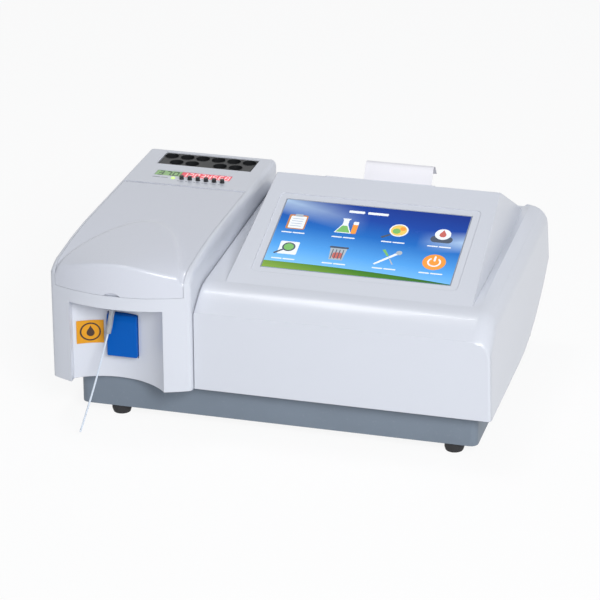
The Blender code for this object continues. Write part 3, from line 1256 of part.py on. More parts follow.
def build_caution_label():
    left = MODULE_X + STICKER_LEFT
    run = spread(left, left + STICKER_WIDTH, 7)
    outline = [(x, recess_wall_y(x, -GAP)) for x in run]
    outline += [(x, recess_wall_y(x, -GAP - STICKER_THICKNESS)) for x in reversed(run)]
    part("caution_label", prism(outline, STICKER_BOTTOM, STICKER_BOTTOM + STICKER_HEIGHT), AMBER)


def sipper_path():
    """From the flow cell's nipple over the shelf, down through the lip, then leaning out over the bench."""
    start = Vector((CELL_X, NIPPLE_END - GAP, NIPPLE_Z))
    port = Vector((PORT_X, PORT_Y, SHELF_Z))
    reach = Vector((SIPPER_LEAN_X, SIPPER_LEAN_Y, SHELF_Z - SIPPER_TIP_Z))
    points = [start + Vector([a * b for a, b in zip(port - start, shares)]) for shares in SIPPER_INNER_SHARES]
    points += [port - Vector([a * b for a, b in zip(reach, shares)]) for shares in SIPPER_OUTER_SHARES]
    return smooth_path(points, SIPPER_SMOOTH)


def build_sipper():
    path = sipper_path()
    tube("sipper_tube", path, SIPPER_RADIUS, TUBING)
    top = RECESS_TOP - GAP
    half, rear = CLIP_PLATE_WIDTH / 2, CLIP_PLATE_LENGTH / 2
    clip = part("sipper_clip", boxes((
        (PORT_X - half, PORT_Y - rear, top - CLIP_PLATE), (PORT_X + half, PORT_Y + rear, top))), WHITE)
    join(clip, "sleeve", tube_mesh(path_between(path, top - CLIP_PLATE / 2, top - CLIP_LENGTH), CLIP_RADIUS))
    cut(clip, "bore", tube_mesh(path_between(path, top + OVERRUN / 2, top - CLIP_LENGTH - OVERRUN),
        CLIP_BORE))


def build_flow_cell():
    bottom = COMPARTMENT_FLOOR + GAP
    top = BEAM_Z + HOLDER_ABOVE_BEAM
    width, length = HOLDER_WIDTH / 2, HOLDER_LENGTH / 2
    holder = part("flow_cell_holder", boxes((
        (CELL_X - width, BEAM_Y - length, bottom), (CELL_X + width, BEAM_Y + length, top))), ALUMINIUM)
    soften(holder, HOLDER_EDGE, 1)
    side = CELL_SIDE / 2
    cut(holder, "cell_socket", boxes((
        (CELL_X - side - GAP, BEAM_Y - side - GAP, CELL_BOTTOM - GAP),
        (CELL_X + side + GAP, BEAM_Y + side + GAP, top + OVERRUN))))
    cut(holder, "beam_bore", rods((
        (CELL_X - width - OVERRUN, BEAM_Y, BEAM_Z), (CELL_X + width + OVERRUN, BEAM_Y, BEAM_Z), BEAM_RADIUS)))
    cell = part("flow_cell", boxes((
        (CELL_X - side, BEAM_Y - side, CELL_BOTTOM), (CELL_X + side, BEAM_Y + side, CELL_TOP))), STEEL)
    join(cell, "nipple", rods((
        (CELL_X, NIPPLE_END, NIPPLE_Z), (CELL_X, BEAM_Y, NIPPLE_Z), NIPPLE_RADIUS), sides=FINE_SIDES))
    face = CELL_X - width - GAP
    board = part("detector_board", boxes((
        (face - BOARD_THICKNESS, BEAM_Y - DETECTOR_WIDTH / 2, BEAM_Z - DETECTOR_HEIGHT / 2),
        (face, BEAM_Y + DETECTOR_WIDTH / 2, BEAM_Z + DETECTOR_HEIGHT / 2))), CIRCUIT)
    join(board, "photodiode", rods((
        (face - BOARD_THICKNESS / 2, BEAM_Y, BEAM_Z), (face + DETECTOR_CAN_LENGTH, BEAM_Y, BEAM_Z),
        DETECTOR_CAN_RADIUS), sides=FINE_SIDES))


def build_pump():
    top = PUMP_FLOOR + PUMP_HEIGHT
    track = PUMP_FLOOR + PUMP_BASE
    axis = (CELL_X, PUMP_Y)
    housing = part("pump_housing", rods(
        ((*axis, PUMP_FLOOR), (*axis, top), PUMP_RADIUS), sides=LARGE_SIDES), DARK, (*axis, PUMP_FLOOR))
    cut(housing, "track", rods(((*axis, track), (*axis, top + OVERRUN), TRACK_RADIUS), sides=LARGE_SIDES))
    cut(housing, "mouth", boxes((
        (CELL_X - TRACK_RADIUS, PUMP_Y - PUMP_RADIUS - OVERRUN, track),
        (CELL_X + TRACK_RADIUS, PUMP_Y, top + OVERRUN))))
    cut(housing, "shaft_hole", rods((
        (*axis, PUMP_FLOOR - OVERRUN), (*axis, track + OVERRUN), PUMP_SHAFT_RADIUS + RUNNING_GAP)))
    shaft_end = COMPARTMENT_UNDER - ROTOR_Z
    rotor = turned("pump_rotor", [
        (0, ROTOR_DISC + ROLLER_HEIGHT), (ROTOR_HUB_RADIUS, ROTOR_DISC + ROLLER_HEIGHT),
        (ROTOR_HUB_RADIUS, ROTOR_DISC), (ROTOR_RADIUS, ROTOR_DISC), (ROTOR_RADIUS, 0), (PUMP_SHAFT_RADIUS, 0),
        (PUMP_SHAFT_RADIUS, shaft_end), (0, shaft_end)], ALUMINIUM, (*axis, ROTOR_Z))
    pins = []
    inner = ROLLER_PIN_RADIUS + GAP
    for i in range(ROLLER_COUNT):
        angle = math.pi / 2 + i * 2 * math.pi / ROLLER_COUNT
        x, y = CELL_X + ROLLER_ORBIT * math.cos(angle), PUMP_Y + ROLLER_ORBIT * math.sin(angle)
        pins.append(((x, y, ROTOR_Z + ROTOR_DISC / 2), (x, y, ROLLER_Z + ROLLER_HEIGHT), ROLLER_PIN_RADIUS))
        turned(f"pump_roller_{i + 1}", [
            (inner, ROLLER_HEIGHT), (ROLLER_RADIUS, ROLLER_HEIGHT), (ROLLER_RADIUS, 0), (inner, 0)],
            TUBING, (x, y, ROLLER_Z), sides=FINE_SIDES)
    join(rotor, "pins", rods(*pins, sides=FINE_SIDES))
    radius = TRACK_RADIUS - GAP * 2 - PUMP_TUBE_RADIUS
    z = ROLLER_Z + ROLLER_HEIGHT / 2
    path = [(CELL_X + radius, PUMP_Y - PUMP_TUBE_RUN, z)]
    path += [(CELL_X + radius * math.cos(a), PUMP_Y + radius * math.sin(a), z) for a in spread(0, math.pi,
        19)]
    path.append((CELL_X - radius, PUMP_Y - PUMP_TUBE_RUN, z))
    tube("pump_tube", path, PUMP_TUBE_RADIUS, SILICONE)
    shoulder = -PUMP_BOSS_LENGTH
    turned("pump_motor", [
        (0, 0), (PUMP_BOSS_RADIUS, 0), (PUMP_BOSS_RADIUS, shoulder), (PUMP_MOTOR_RADIUS, shoulder),
        (PUMP_MOTOR_RADIUS, shoulder - PUMP_MOTOR_LENGTH), (0, shoulder - PUMP_MOTOR_LENGTH)],
        STEEL, (*axis, COMPARTMENT_UNDER - GAP))


def build_optics():
    front, rear = BEAM_Y - BENCH_LENGTH / 2, BEAM_Y + BENCH_LENGTH / 2
    right = BENCH_LEFT + BENCH_WIDTH
    bench = part("optics_bench", boxes(((BENCH_LEFT, front, BENCH_Z), (right, rear, BENCH_TOP))), ALUMINIUM)
    foot = FLOOR_TOP + GAP
    middle = BENCH_Z + BENCH_PLATE / 2
    join(bench, "legs", boxes(
        ((BENCH_LEFT, front, foot), (BENCH_LEFT + BENCH_PLATE, rear, middle)),
        ((right - BENCH_PLATE, front, foot), (right, rear, middle))))
    join(bench, "bracket", boxes((
        (BRACKET_X, BEAM_Y - BRACKET_WIDTH / 2, middle),
        (BRACKET_X + BRACKET_THICKNESS, BEAM_Y + BRACKET_WIDTH / 2, WHEEL_Z + BRACKET_ABOVE_SHAFT))))
    cut(bench, "shaft_hole", rods((
        (WHEEL_RIGHT, BEAM_Y, WHEEL_Z), (BRACKET_X + BRACKET_THICKNESS + OVERRUN, BEAM_Y, WHEEL_Z),
        WHEEL_SHAFT_RADIUS + RUNNING_GAP), sides=FINE_SIDES))
    build_filter_wheel()
    motor = BRACKET_X + BRACKET_THICKNESS + GAP
    part("filter_motor", rods((
        (motor, BEAM_Y, WHEEL_Z), (motor + FILTER_MOTOR_LENGTH, BEAM_Y,
            WHEEL_Z), FILTER_MOTOR_RADIUS)), STEEL)
    build_lamp()


def build_filter_wheel():
    shaft = WHEEL_THICKNESS + WHEEL_TO_BRACKET + BRACKET_THICKNESS
    hub = WHEEL_THICKNESS + WHEEL_TO_BRACKET - RUNNING_GAP
    wheel = turned("filter_wheel", [
        (0, shaft), (WHEEL_SHAFT_RADIUS, shaft), (WHEEL_SHAFT_RADIUS, hub), (WHEEL_HUB_RADIUS, hub),
        (WHEEL_HUB_RADIUS, WHEEL_THICKNESS), (WHEEL_RADIUS, WHEEL_THICKNESS), (WHEEL_RADIUS, 0), (0, 0)],
        BLACK, (WHEEL_LEFT, BEAM_Y, WHEEL_Z), "X", sides=LARGE_SIDES)
    filters = []
    for i in range(FILTER_COUNT):
        angle = i * 2 * math.pi / FILTER_COUNT
        y, z = BEAM_Y + WHEEL_ORBIT * math.sin(angle), WHEEL_Z + WHEEL_ORBIT * math.cos(angle)
        filters.append(((WHEEL_LEFT - OVERRUN, y, z), (WHEEL_RIGHT + OVERRUN, y, z), FILTER_RADIUS))
    cut(wheel, "filters", rods(*filters, sides=FINE_SIDES))


def build_lamp():
    right = LAMP_LEFT + LAMP_BOX_WIDTH
    front, rear = BEAM_Y - LAMP_BOX_LENGTH / 2, BEAM_Y + LAMP_BOX_LENGTH / 2
    top = BEAM_Z + LAMP_BORE + LAMP_WALL
    lamp_box = part("lamp_housing", boxes(((LAMP_LEFT, front, BENCH_TOP + GAP), (right, rear, top))),
        ALUMINIUM)
    cut(lamp_box, "bore", rods((
        (LAMP_LEFT - OVERRUN, BEAM_Y, BEAM_Z), (right + OVERRUN, BEAM_Y, BEAM_Z), LAMP_BORE)))
    slots = []
    pitch = LAMP_BOX_WIDTH / (FIN_COUNT + 1)
    for i in range(FIN_COUNT):
        x = LAMP_LEFT + pitch * (i + 1) - FIN_SLOT / 2
        for low, high in ((front - OVERRUN, front + FIN_DEPTH), (rear - FIN_DEPTH, rear + OVERRUN)):
            slots.append(((x, low, BENCH_TOP + LAMP_WALL), (x + FIN_SLOT, high, top + OVERRUN)))
    cut(lamp_box, "fins", boxes(*slots))
    neck = -LAMP_BASE_LENGTH
    tip = neck - LAMP_GLASS_LENGTH
    turned("halogen_lamp", [
        (0, 0), (LAMP_BORE - GAP, 0), (LAMP_BORE - GAP, neck), (LAMP_GLASS_RADIUS, neck),
        (LAMP_GLASS_RADIUS, tip + LAMP_GLASS_RADIUS / 2), (LAMP_GLASS_RADIUS / 2, tip), (0, tip)],
        GLASS, (right, BEAM_Y, BEAM_Z), "X")


def build_touch_screen():
    screen = part("touch_screen", prism(
        screen_outline(0, GAP), SCREEN_SHELF - SCREEN_BODY_DEPTH / 2, SCREEN_TOP), SCREEN, frame=PANEL_AXES)
    join(screen, "body", prism(
        screen_outline(SCREEN_BODY_MARGIN, SCREEN_BODY_MARGIN / 2), SCREEN_BACK, SCREEN_SHELF))
    half = SCREEN_WIDTH / 2 + SCREEN_BODY_MARGIN + GAP
    low = SCREEN_START + (SCREEN_LENGTH - BRACKET_LENGTH) / 2
    back = SCREEN_BACK - GAP
    bracket = part("screen_bracket", boxes((
        (SCREEN_SHIFT - half - BRACKET_PLATE, low, back - BRACKET_PLATE),
        (SCREEN_SHIFT + half + BRACKET_PLATE, low + BRACKET_LENGTH, SCREEN_SHELF))), STEEL, frame=PANEL_AXES)
    cut(bracket, "seat", boxes((
        (SCREEN_SHIFT - half, low - OVERRUN, back), (SCREEN_SHIFT + half, low + BRACKET_LENGTH + OVERRUN,
            OVERRUN))))


def bucket_outline(grow, top):
    """Side view of the drop-in paper bucket: straight throat and heel walls meet a round belly by tangents."""
    centre_y, centre_z = PAPER_ROLL_Y, -PAPER_ROLL_DEPTH
    radius = PAPER_ROLL_RADIUS + RUNNING_GAP + grow
    throat = (THROAT_Y - grow, -THROAT_DEPTH)
    heel = (BAY_END + grow, -HEEL_DEPTH)
    angles = []
    for (y, z), side in ((throat, 1), (heel, -1)):
        towards = math.atan2(z - centre_z, y - centre_y)
        angles.append(towards + side * math.acos(radius / math.hypot(y - centre_y, z - centre_z)))
    belly = spread(angles[0], angles[1] + 2 * math.pi, 13)
    outline = [(throat[0], top), throat]
    outline += [(centre_y + radius * math.cos(a), centre_z + radius * math.sin(a)) for a in belly]
    return outline + [heel, (heel[0], top)]


def build_printer():
    plate = rounded_rectangle(FRAME_LEFT, FRAME_START, FRAME_RIGHT, FRAME_END, PRINTER_CORNER)
    frame = part("printer_frame", prism(plate, FRAME_UNDER, PRINTER_PROUD), WHITE, frame=PRINTER_AXES)
    join(frame, "bucket", prism(
        bucket_outline(BUCKET_WALL, FRAME_UNDER / 2), BAY_LEFT - BUCKET_WALL, BAY_RIGHT + BUCKET_WALL, "X"))
    cut(frame, "bay", prism(bucket_outline(0, PRINTER_PROUD + OVERRUN), BAY_LEFT, BAY_RIGHT, "X"))
    reach = COVER_PIN_SEAT + GAP
    cut(frame, "pin_bores", rods((
        (BAY_LEFT - reach, COVER_HINGE_Y, COVER_HINGE_Z), (BAY_RIGHT + reach, COVER_HINGE_Y, COVER_HINGE_Z),
        COVER_PIN_RADIUS + GAP), sides=FINE_SIDES))
    cut(frame, "button_hole", rods((
        (FEED_X, FEED_Y, FRAME_UNDER - OVERRUN), (FEED_X, FEED_Y, PRINTER_PROUD + OVERRUN),
            FEED_RADIUS + GAP)))
    collar = FEED_RADIUS + FEED_COLLAR
    collar_top = FRAME_UNDER - GAP
    cap = PRINTER_PROUD + FEED_TRAVEL
    turned("feed_button", [
        (0, cap), (FEED_RADIUS, cap), (FEED_RADIUS, collar_top), (collar, collar_top),
        (collar, collar_top - FEED_COLLAR_HEIGHT), (0, collar_top - FEED_COLLAR_HEIGHT)],
        BLUE, (FEED_X, FEED_Y, 0), frame=PRINTER_AXES)
    part("print_head", boxes((
        (PAPER_SHIFT - PAPER_WIDTH / 2, THROAT_Y + GAP, -HEAD_DEPTH - HEAD_HEIGHT),
        (PAPER_SHIFT + PAPER_WIDTH / 2, HEAD_REAR, -HEAD_DEPTH))), DARK, frame=PRINTER_AXES)
    turned("paper_roll", [
        (PAPER_ROLL_CORE, PAPER_WIDTH / 2), (PAPER_ROLL_RADIUS, PAPER_WIDTH / 2),
        (PAPER_ROLL_RADIUS, -PAPER_WIDTH / 2), (PAPER_ROLL_CORE, -PAPER_WIDTH / 2)],
        PAPER, (PAPER_SHIFT, PAPER_ROLL_Y, -PAPER_ROLL_DEPTH), "X", PRINTER_AXES, LARGE_SIDES)
    build_printer_cover()
    build_paper_strip()


def build_printer_cover():
    hinge = (PAPER_SHIFT, COVER_HINGE_Y, COVER_HINGE_Z)
    cover = part("printer_cover", boxes((
        (COVER_LEFT, COVER_START, COVER_TOP - COVER_PLATE), (COVER_RIGHT, COVER_HINGE_Y, COVER_TOP))),
        WHITE, hinge, PRINTER_AXES)
    join(cover, "knuckle", rods((
        (COVER_LEFT, COVER_HINGE_Y, COVER_HINGE_Z), (COVER_RIGHT, COVER_HINGE_Y, COVER_HINGE_Z),
            COVER_KNUCKLE)))
    ears = []
    for x in (COVER_LEFT, COVER_RIGHT - EAR_THICKNESS):
        ears.append(((x, PLATEN_Y - EAR_RADIUS, -PLATEN_DEPTH - EAR_RADIUS),
                     (x + EAR_THICKNESS, PLATEN_Y + EAR_RADIUS, COVER_TOP - COVER_PLATE / 2)))
    join(cover, "ears", boxes(*ears))
    left, right = COVER_LEFT - OVERRUN, COVER_RIGHT + OVERRUN
    cut(cover, "bores", rods(
        ((left, COVER_HINGE_Y, COVER_HINGE_Z), (right, COVER_HINGE_Y, COVER_HINGE_Z), COVER_PIN_RADIUS + GAP),
        ((left, PLATEN_Y, -PLATEN_DEPTH), (right, PLATEN_Y, -PLATEN_DEPTH), PLATEN_SHAFT_RADIUS + GAP),
        sides=FINE_SIDES))
    part("printer_hinge_pin", rods((
        (BAY_LEFT - COVER_PIN_SEAT, COVER_HINGE_Y, COVER_HINGE_Z),
        (BAY_RIGHT + COVER_PIN_SEAT, COVER_HINGE_Y, COVER_HINGE_Z), COVER_PIN_RADIUS), sides=FINE_SIDES),
        STEEL, hinge, PRINTER_AXES)
    end = (COVER_RIGHT - COVER_LEFT) / 2
    rubber = end - EAR_THICKNESS - GAP
    turned("platen_roller", [
        (0, end), (PLATEN_SHAFT_RADIUS, end), (PLATEN_SHAFT_RADIUS, rubber), (PLATEN_RADIUS, rubber),
        (PLATEN_RADIUS, -rubber), (PLATEN_SHAFT_RADIUS, -rubber), (PLATEN_SHAFT_RADIUS, -end), (0, -end)],
        RUBBER, (PAPER_SHIFT, PLATEN_Y, -PLATEN_DEPTH), "X", PRINTER_AXES)


def build_paper_strip():
    """A sheet that leaves the slot, rises straight off the deck and curls back."""
    bottom = GAP - HEAD_DEPTH
    centre_z = bottom + SHEET_RISE
    line = [(PAPER_Y, bottom, math.pi)]
    for angle in spread(math.pi, math.pi - SHEET_BEND, 9):
        y = PAPER_Y + SHEET_BEND_RADIUS * (1 + math.cos(angle))
        line.append((y, centre_z + SHEET_BEND_RADIUS * math.sin(angle), angle))
    y, z, angle = line[-1]
    line.append((y + SHEET_TAIL * math.sin(angle), z - SHEET_TAIL * math.cos(angle), angle))
    half = PAPER_THICKNESS / 2
    outline = [(y + half * math.cos(a), z + half * math.sin(a)) for y, z, a in line]
    outline += [(y - half * math.cos(a), z - half * math.sin(a)) for y, z, a in reversed(line)]
    part("paper_strip", prism(
        outline, PAPER_SHIFT - PAPER_WIDTH / 2, PAPER_SHIFT + PAPER_WIDTH / 2, "X"), PAPER, frame=PRINTER_AXES)


def build_electronics():
    low = FLOOR_TOP + GAP
    board_low = low + STANDOFF_HEIGHT
    board_top = board_low + BOARD_THICKNESS
    board = part("main_board", boxes((
        (BOARD_X, BOARD_Y, board_low), (BOARD_X + BOARD_WIDTH, BOARD_Y + BOARD_LENGTH, board_top))), CIRCUIT)
    standoffs = []
    for x in (BOARD_X + STANDOFF_INSET, BOARD_X + BOARD_WIDTH - STANDOFF_INSET):
        for y in (BOARD_Y + STANDOFF_INSET, BOARD_Y + BOARD_LENGTH - STANDOFF_INSET):
            standoffs.append(((x, y, low), (x, y, board_low + BOARD_THICKNESS / 2), STANDOFF_RADIUS))
    join(board, "standoffs", rods(*standoffs, sides=FINE_SIDES))
    chips = []
    for x, y, width, length in CHIP_SHARES:
        chips.append((
            (BOARD_X + x * BOARD_WIDTH, BOARD_Y + y * BOARD_LENGTH, board_top - BOARD_THICKNESS / 2),
            (BOARD_X + (x + width) * BOARD_WIDTH, BOARD_Y + (y + length) * BOARD_LENGTH,
                board_top + CHIP_HEIGHT)))
    join(board, "chips", boxes(*chips))
    top = low + SUPPLY_HEIGHT
    supply = part("power_supply", boxes((
        (SUPPLY_X, SUPPLY_Y, low), (SUPPLY_X + SUPPLY_WIDTH, SUPPLY_Y + SUPPLY_LENGTH, top))), ALUMINIUM)
    vents = []
    for i in range(SUPPLY_SLOTS):
        x = SUPPLY_X + SUPPLY_WIDTH * (i + 1) / (SUPPLY_SLOTS + 1)
        vents.append((
            (x - SUPPLY_SLOT_WIDTH / 2, SUPPLY_Y + SUPPLY_LENGTH / 4, top - SUPPLY_SLOT_DEPTH),
            (x + SUPPLY_SLOT_WIDTH / 2, SUPPLY_Y + SUPPLY_LENGTH * 3 / 4, top + OVERRUN)))
    cut(supply, "vents", boxes(*vents))


def build_fan():
    half = FAN_SIDE / 2
    frame = part("fan_frame", boxes((
        (FAN_X - half, FAN_FRONT, FAN_Z - half), (FAN_X + half, FAN_REAR, FAN_Z + half))), BLACK)
    cut(frame, "bore", rods((
        (FAN_X, FAN_FRONT - OVERRUN, FAN_Z), (FAN_X, FAN_REAR + OVERRUN,
            FAN_Z), FAN_BORE), sides=LARGE_SIDES))
    arm = FAN_ARM / 2
    near, far = FAN_HUB / 2, FAN_BORE + FAN_RIM / 2
    front, rear = FAN_FRONT + GAP, FAN_FRONT + FAN_ARM_DEPTH
    arms = []
    for side in (-1, 1):
        arms.append(((FAN_X + side * near, front, FAN_Z - arm),
            (FAN_X + side * far, rear - GAP, FAN_Z + arm)))
        arms.append(((FAN_X - arm, front, FAN_Z + side * near),
            (FAN_X + arm, rear - GAP, FAN_Z + side * far)))
    join(frame, "arms", boxes(*arms))
    join(frame, "hub_plate", rods(((FAN_X, FAN_FRONT, FAN_Z), (FAN_X, rear, FAN_Z), FAN_HUB)))
    join(frame, "shaft", rods((
        (FAN_X, FAN_FRONT + FAN_ARM_DEPTH / 2, FAN_Z), (FAN_X, FAN_FRONT + FAN_DEPTH / 2, FAN_Z),
            FAN_SHAFT_RADIUS),
        sides=FINE_SIDES))
    start = FAN_ARM_DEPTH + GAP
    end = FAN_DEPTH - RUNNING_GAP
    bore = FAN_SHAFT_RADIUS + GAP
    bore_end = FAN_DEPTH / 2 + GAP
    rotor = turned("fan_rotor", [
        (0, end), (FAN_HUB, end), (FAN_HUB, start), (bore, start), (bore, bore_end), (0, bore_end)],
        BLACK, (FAN_X, FAN_FRONT, FAN_Z), "Y")
    tip = FAN_BORE - FAN_TIP_GAP
    root = (FAN_HUB + bore) / 2
    size = Matrix.Diagonal((tip - root, BLADE_CHORD, BLADE_THICKNESS, 1))
    pose = Matrix.Translation(((tip + root) / 2, 0, 0)) @ Matrix.Rotation(math.pi / 2 - BLADE_TILT, 4,
        "X") @ size
    centre = Matrix.Translation((FAN_X, FAN_FRONT + (start + end) / 2, FAN_Z))
    form = bmesh.new()
    for i in range(FAN_BLADES):
        turn = Matrix.Rotation(i * 2 * math.pi / FAN_BLADES, 4, "Y")
        bmesh.ops.create_cube(form, size=1, matrix=centre @ turn @ pose)
    join(rotor, "blades", finished(form))


def build_power_inlet():
    plate = BASE_REAR + GAP
    inlet = part("power_inlet", boxes(inlet_block(0, INLET_FACE - INLET_DEPTH, plate + INLET_PLATE / 2)),
        BLACK)
    join(inlet, "flange", boxes(inlet_block(INLET_FLANGE, plate, INLET_FACE)))
    floor = INLET_FACE - SOCKET_DEPTH
    cut(inlet, "socket", boxes((
        (INLET_X - SOCKET_WIDTH / 2, floor, INLET_Z - SOCKET_HEIGHT / 2),
        (INLET_X + SOCKET_WIDTH / 2, INLET_FACE + OVERRUN, INLET_Z + SOCKET_HEIGHT / 2))))
    prongs = []
    for across, up in ((-1, -1), (0, 1), (1, -1)):
        x, z = INLET_X + across * PRONG_SPACING, INLET_Z + up * PRONG_THICKNESS
        prongs.append((
            (x - PRONG_THICKNESS / 2, floor - PRONG_THICKNESS, z - PRONG_WIDTH / 2),
            (x + PRONG_THICKNESS / 2, floor + PRONG_LENGTH, z + PRONG_WIDTH / 2)))
    join(inlet, "prongs", boxes(*prongs))
    half = ROCKER_WIDTH / 2 + RUNNING_GAP
    tall = ROCKER_HEIGHT / 2 + ROCKER_GAP
    cut(inlet, "switch_bay", boxes((
        (ROCKER_X - half, INLET_FACE - ROCKER_POCKET, INLET_Z - tall),
        (ROCKER_X + half, INLET_FACE + OVERRUN, INLET_Z + tall))))
    reach = half + ROCKER_PIN_SEAT
    cut(inlet, "pin_bores", rods((
        (ROCKER_X - reach, ROCKER_Y, INLET_Z), (ROCKER_X + reach, ROCKER_Y, INLET_Z),
            ROCKER_PIN_RADIUS + GAP),
        sides=FINE_SIDES))
    build_rocker(reach - GAP)


def build_rocker(pin_reach):
    """The rocker stands tilted to one side and swings to the other about its pins."""
    width, height, depth = ROCKER_WIDTH / 2, ROCKER_HEIGHT / 2, ROCKER_THICKNESS / 2
    rocker = part("power_switch", boxes(((-width, -depth, -height), (width, depth, height))), BLACK)
    soften(rocker, RUNNING_GAP, 1)
    rocker.location = (ROCKER_X, ROCKER_Y, INLET_Z)
    rocker.rotation_euler = (ROCKER_TILT, 0, 0)
    join(rocker, "pins", rods((
        (ROCKER_X - pin_reach, ROCKER_Y, INLET_Z), (ROCKER_X + pin_reach, ROCKER_Y, INLET_Z),
            ROCKER_PIN_RADIUS),
        sides=FINE_SIDES))


def serial_outline(wall):
    """The port's D shape, narrower below."""
    width, height = SERIAL_SHELL_WIDTH / 2 - wall, SERIAL_SHELL_HEIGHT / 2 - wall
    lower = width - SERIAL_SLANT_SHARE * SERIAL_SHELL_WIDTH
    return [(SERIAL_X - lower, SERIAL_Z - height), (SERIAL_X + lower, SERIAL_Z - height),
            (SERIAL_X + width, SERIAL_Z + height), (SERIAL_X - width, SERIAL_Z + height)]


def build_serial_port():
    plate = BASE_REAR + GAP
    shell = plate + SERIAL_PLATE
    port = part("serial_port", boxes(serial_block(SERIAL_WIDTH, SERIAL_HEIGHT, plate, shell)), STEEL)
    join(port, "body", boxes(serial_block(
        SERIAL_BODY_WIDTH, SERIAL_BODY_HEIGHT, plate - SERIAL_BODY_DEPTH, plate + SERIAL_PLATE / 2)))
    join(port, "shell", prism(serial_outline(0), plate + SERIAL_PLATE / 2, shell + SERIAL_SHELL_DEPTH, "Y"))
    cut(port, "socket", prism(serial_outline(SERIAL_SHELL_WALL), shell,
        shell + SERIAL_SHELL_DEPTH + OVERRUN, "Y"))


build_base_tray()
build_feet()
build_ground_terminal()
build_main_housing()
build_module_housing()
build_lid()
build_incubator()
build_timer_strip()
build_aspirate_key()
build_caution_label()
build_sipper()
build_flow_cell()
build_pump()
build_optics()
build_touch_screen()
build_printer()
build_electronics()
build_fan()
build_power_inlet()
build_serial_port()
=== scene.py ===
"""Looks of the bench-top blood chemistry analyzer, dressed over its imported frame."""

import math

import bmesh
import bpy
from mathutils import Matrix, Vector


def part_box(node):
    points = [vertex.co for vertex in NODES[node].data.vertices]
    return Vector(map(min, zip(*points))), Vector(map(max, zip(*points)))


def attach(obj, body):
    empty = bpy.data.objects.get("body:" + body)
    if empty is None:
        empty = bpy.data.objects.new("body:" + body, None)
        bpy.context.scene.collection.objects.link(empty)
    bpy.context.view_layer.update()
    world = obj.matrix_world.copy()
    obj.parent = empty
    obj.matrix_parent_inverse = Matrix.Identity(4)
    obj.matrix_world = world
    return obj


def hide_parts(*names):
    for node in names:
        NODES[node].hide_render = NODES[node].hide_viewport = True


MM = 0.001
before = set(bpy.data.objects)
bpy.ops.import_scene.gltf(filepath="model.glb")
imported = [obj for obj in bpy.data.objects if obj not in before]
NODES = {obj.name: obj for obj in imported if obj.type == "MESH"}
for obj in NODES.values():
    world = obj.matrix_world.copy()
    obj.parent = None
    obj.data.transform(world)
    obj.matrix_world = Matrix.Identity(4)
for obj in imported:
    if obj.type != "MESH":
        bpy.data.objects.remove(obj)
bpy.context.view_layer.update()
ORIGIN_X, ORIGIN_Y = 61.75, 105.2
PANEL_PLACE, PANEL_TILT = (116.8, 31, 116.3), math.radians(18.8)
ROOF_TOP = 140

CAMERA_PLACE = (0.53535, -1.9976, 0.9503)
CAMERA_DOWN, CAMERA_ROUND = 22.94, 15.09
LENS_LENGTH, SENSOR_WIDTH = 165.41, 36
FARTHEST_SEEN = 50
FLOOR_REACH, FLOOR_THICKNESS = 6, 0.02
FLOOR_TONE, FLOOR_ROUGHNESS, FLOOR_LIT_SHARE = 0.96, 0.9, 0.9
AMBIENT_COLOUR, AMBIENT_STRENGTH = (0.91, 0.96, 1.07), 0.24
LIGHTS_AIM = (0, 0, 0.1)

INSTRUMENT = Matrix.Translation(Vector((-ORIGIN_X, -ORIGIN_Y, 0)) * MM)
PANEL = (INSTRUMENT @ Matrix.Translation(Vector(PANEL_PLACE) * MM)
         @ Matrix.Rotation(PANEL_TILT, 4, "X"))


def local_box(name):
    """A node's lowest and highest corners in the instrument's own millimetres."""
    shift = Vector((ORIGIN_X, ORIGIN_Y, 0))
    return [Vector(corner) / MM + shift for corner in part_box(name)]


# Materials

NOISE_LOW, NOISE_HIGH = 0.15, 0.85
GLOSS_SPREAD, COAT_ROUGHNESS = 0.12, 0.08
ROUNDING_SAMPLES, RELIEF_DEPTH = 4, 0.1
SCUFF_SCALE, SCUFF_DETAIL, SCUFF_LIGHTER = 420.0, 6.0, 0.35
SCUFFS_START, SCUFFS_FULL = 0.62, 0.72
CLOUD_COLOUR = (0.66, 0.86, 0.97)
CLOUD_BANDS = ((0.98, 0.5, 0.2, 0.72, -1.5), (0.45, -0.16, 0.16, -2.2, 2.9))


def link(tree, start, end):
    tree.links.new(start, end)


def noise(tree, coordinates, scale, detail=3.0):
    node = tree.nodes.new("ShaderNodeTexNoise")
    node.inputs["Scale"].default_value = scale
    node.inputs["Detail"].default_value = detail
    link(tree, coordinates, node.inputs["Vector"])
    return node.outputs["Fac"]


def spread_to(tree, value, low, high, start=NOISE_LOW, end=NOISE_HIGH):
    """Maps the useful part of a noise to a range."""
    node = tree.nodes.new("ShaderNodeMapRange")
    node.inputs["From Min"].default_value = start
    node.inputs["From Max"].default_value = end
    node.inputs["To Min"].default_value = low
    node.inputs["To Max"].default_value = high
    link(tree, value, node.inputs["Value"])
    return node.outputs["Result"]


def mixed(tree, share, base, colour):
    """Lays a plain colour over a tone, or over another plain colour, by a share."""
    mix = tree.nodes.new("ShaderNodeMix")
    mix.data_type = "RGBA"
    mix.inputs["B"].default_value = (*colour, 1)
    if isinstance(base, tuple):
        mix.inputs["A"].default_value = (*base, 1)
    else:
        link(tree, base, mix.inputs["A"])
    link(tree, share, mix.inputs["Factor"])
    return mix.outputs["Result"]


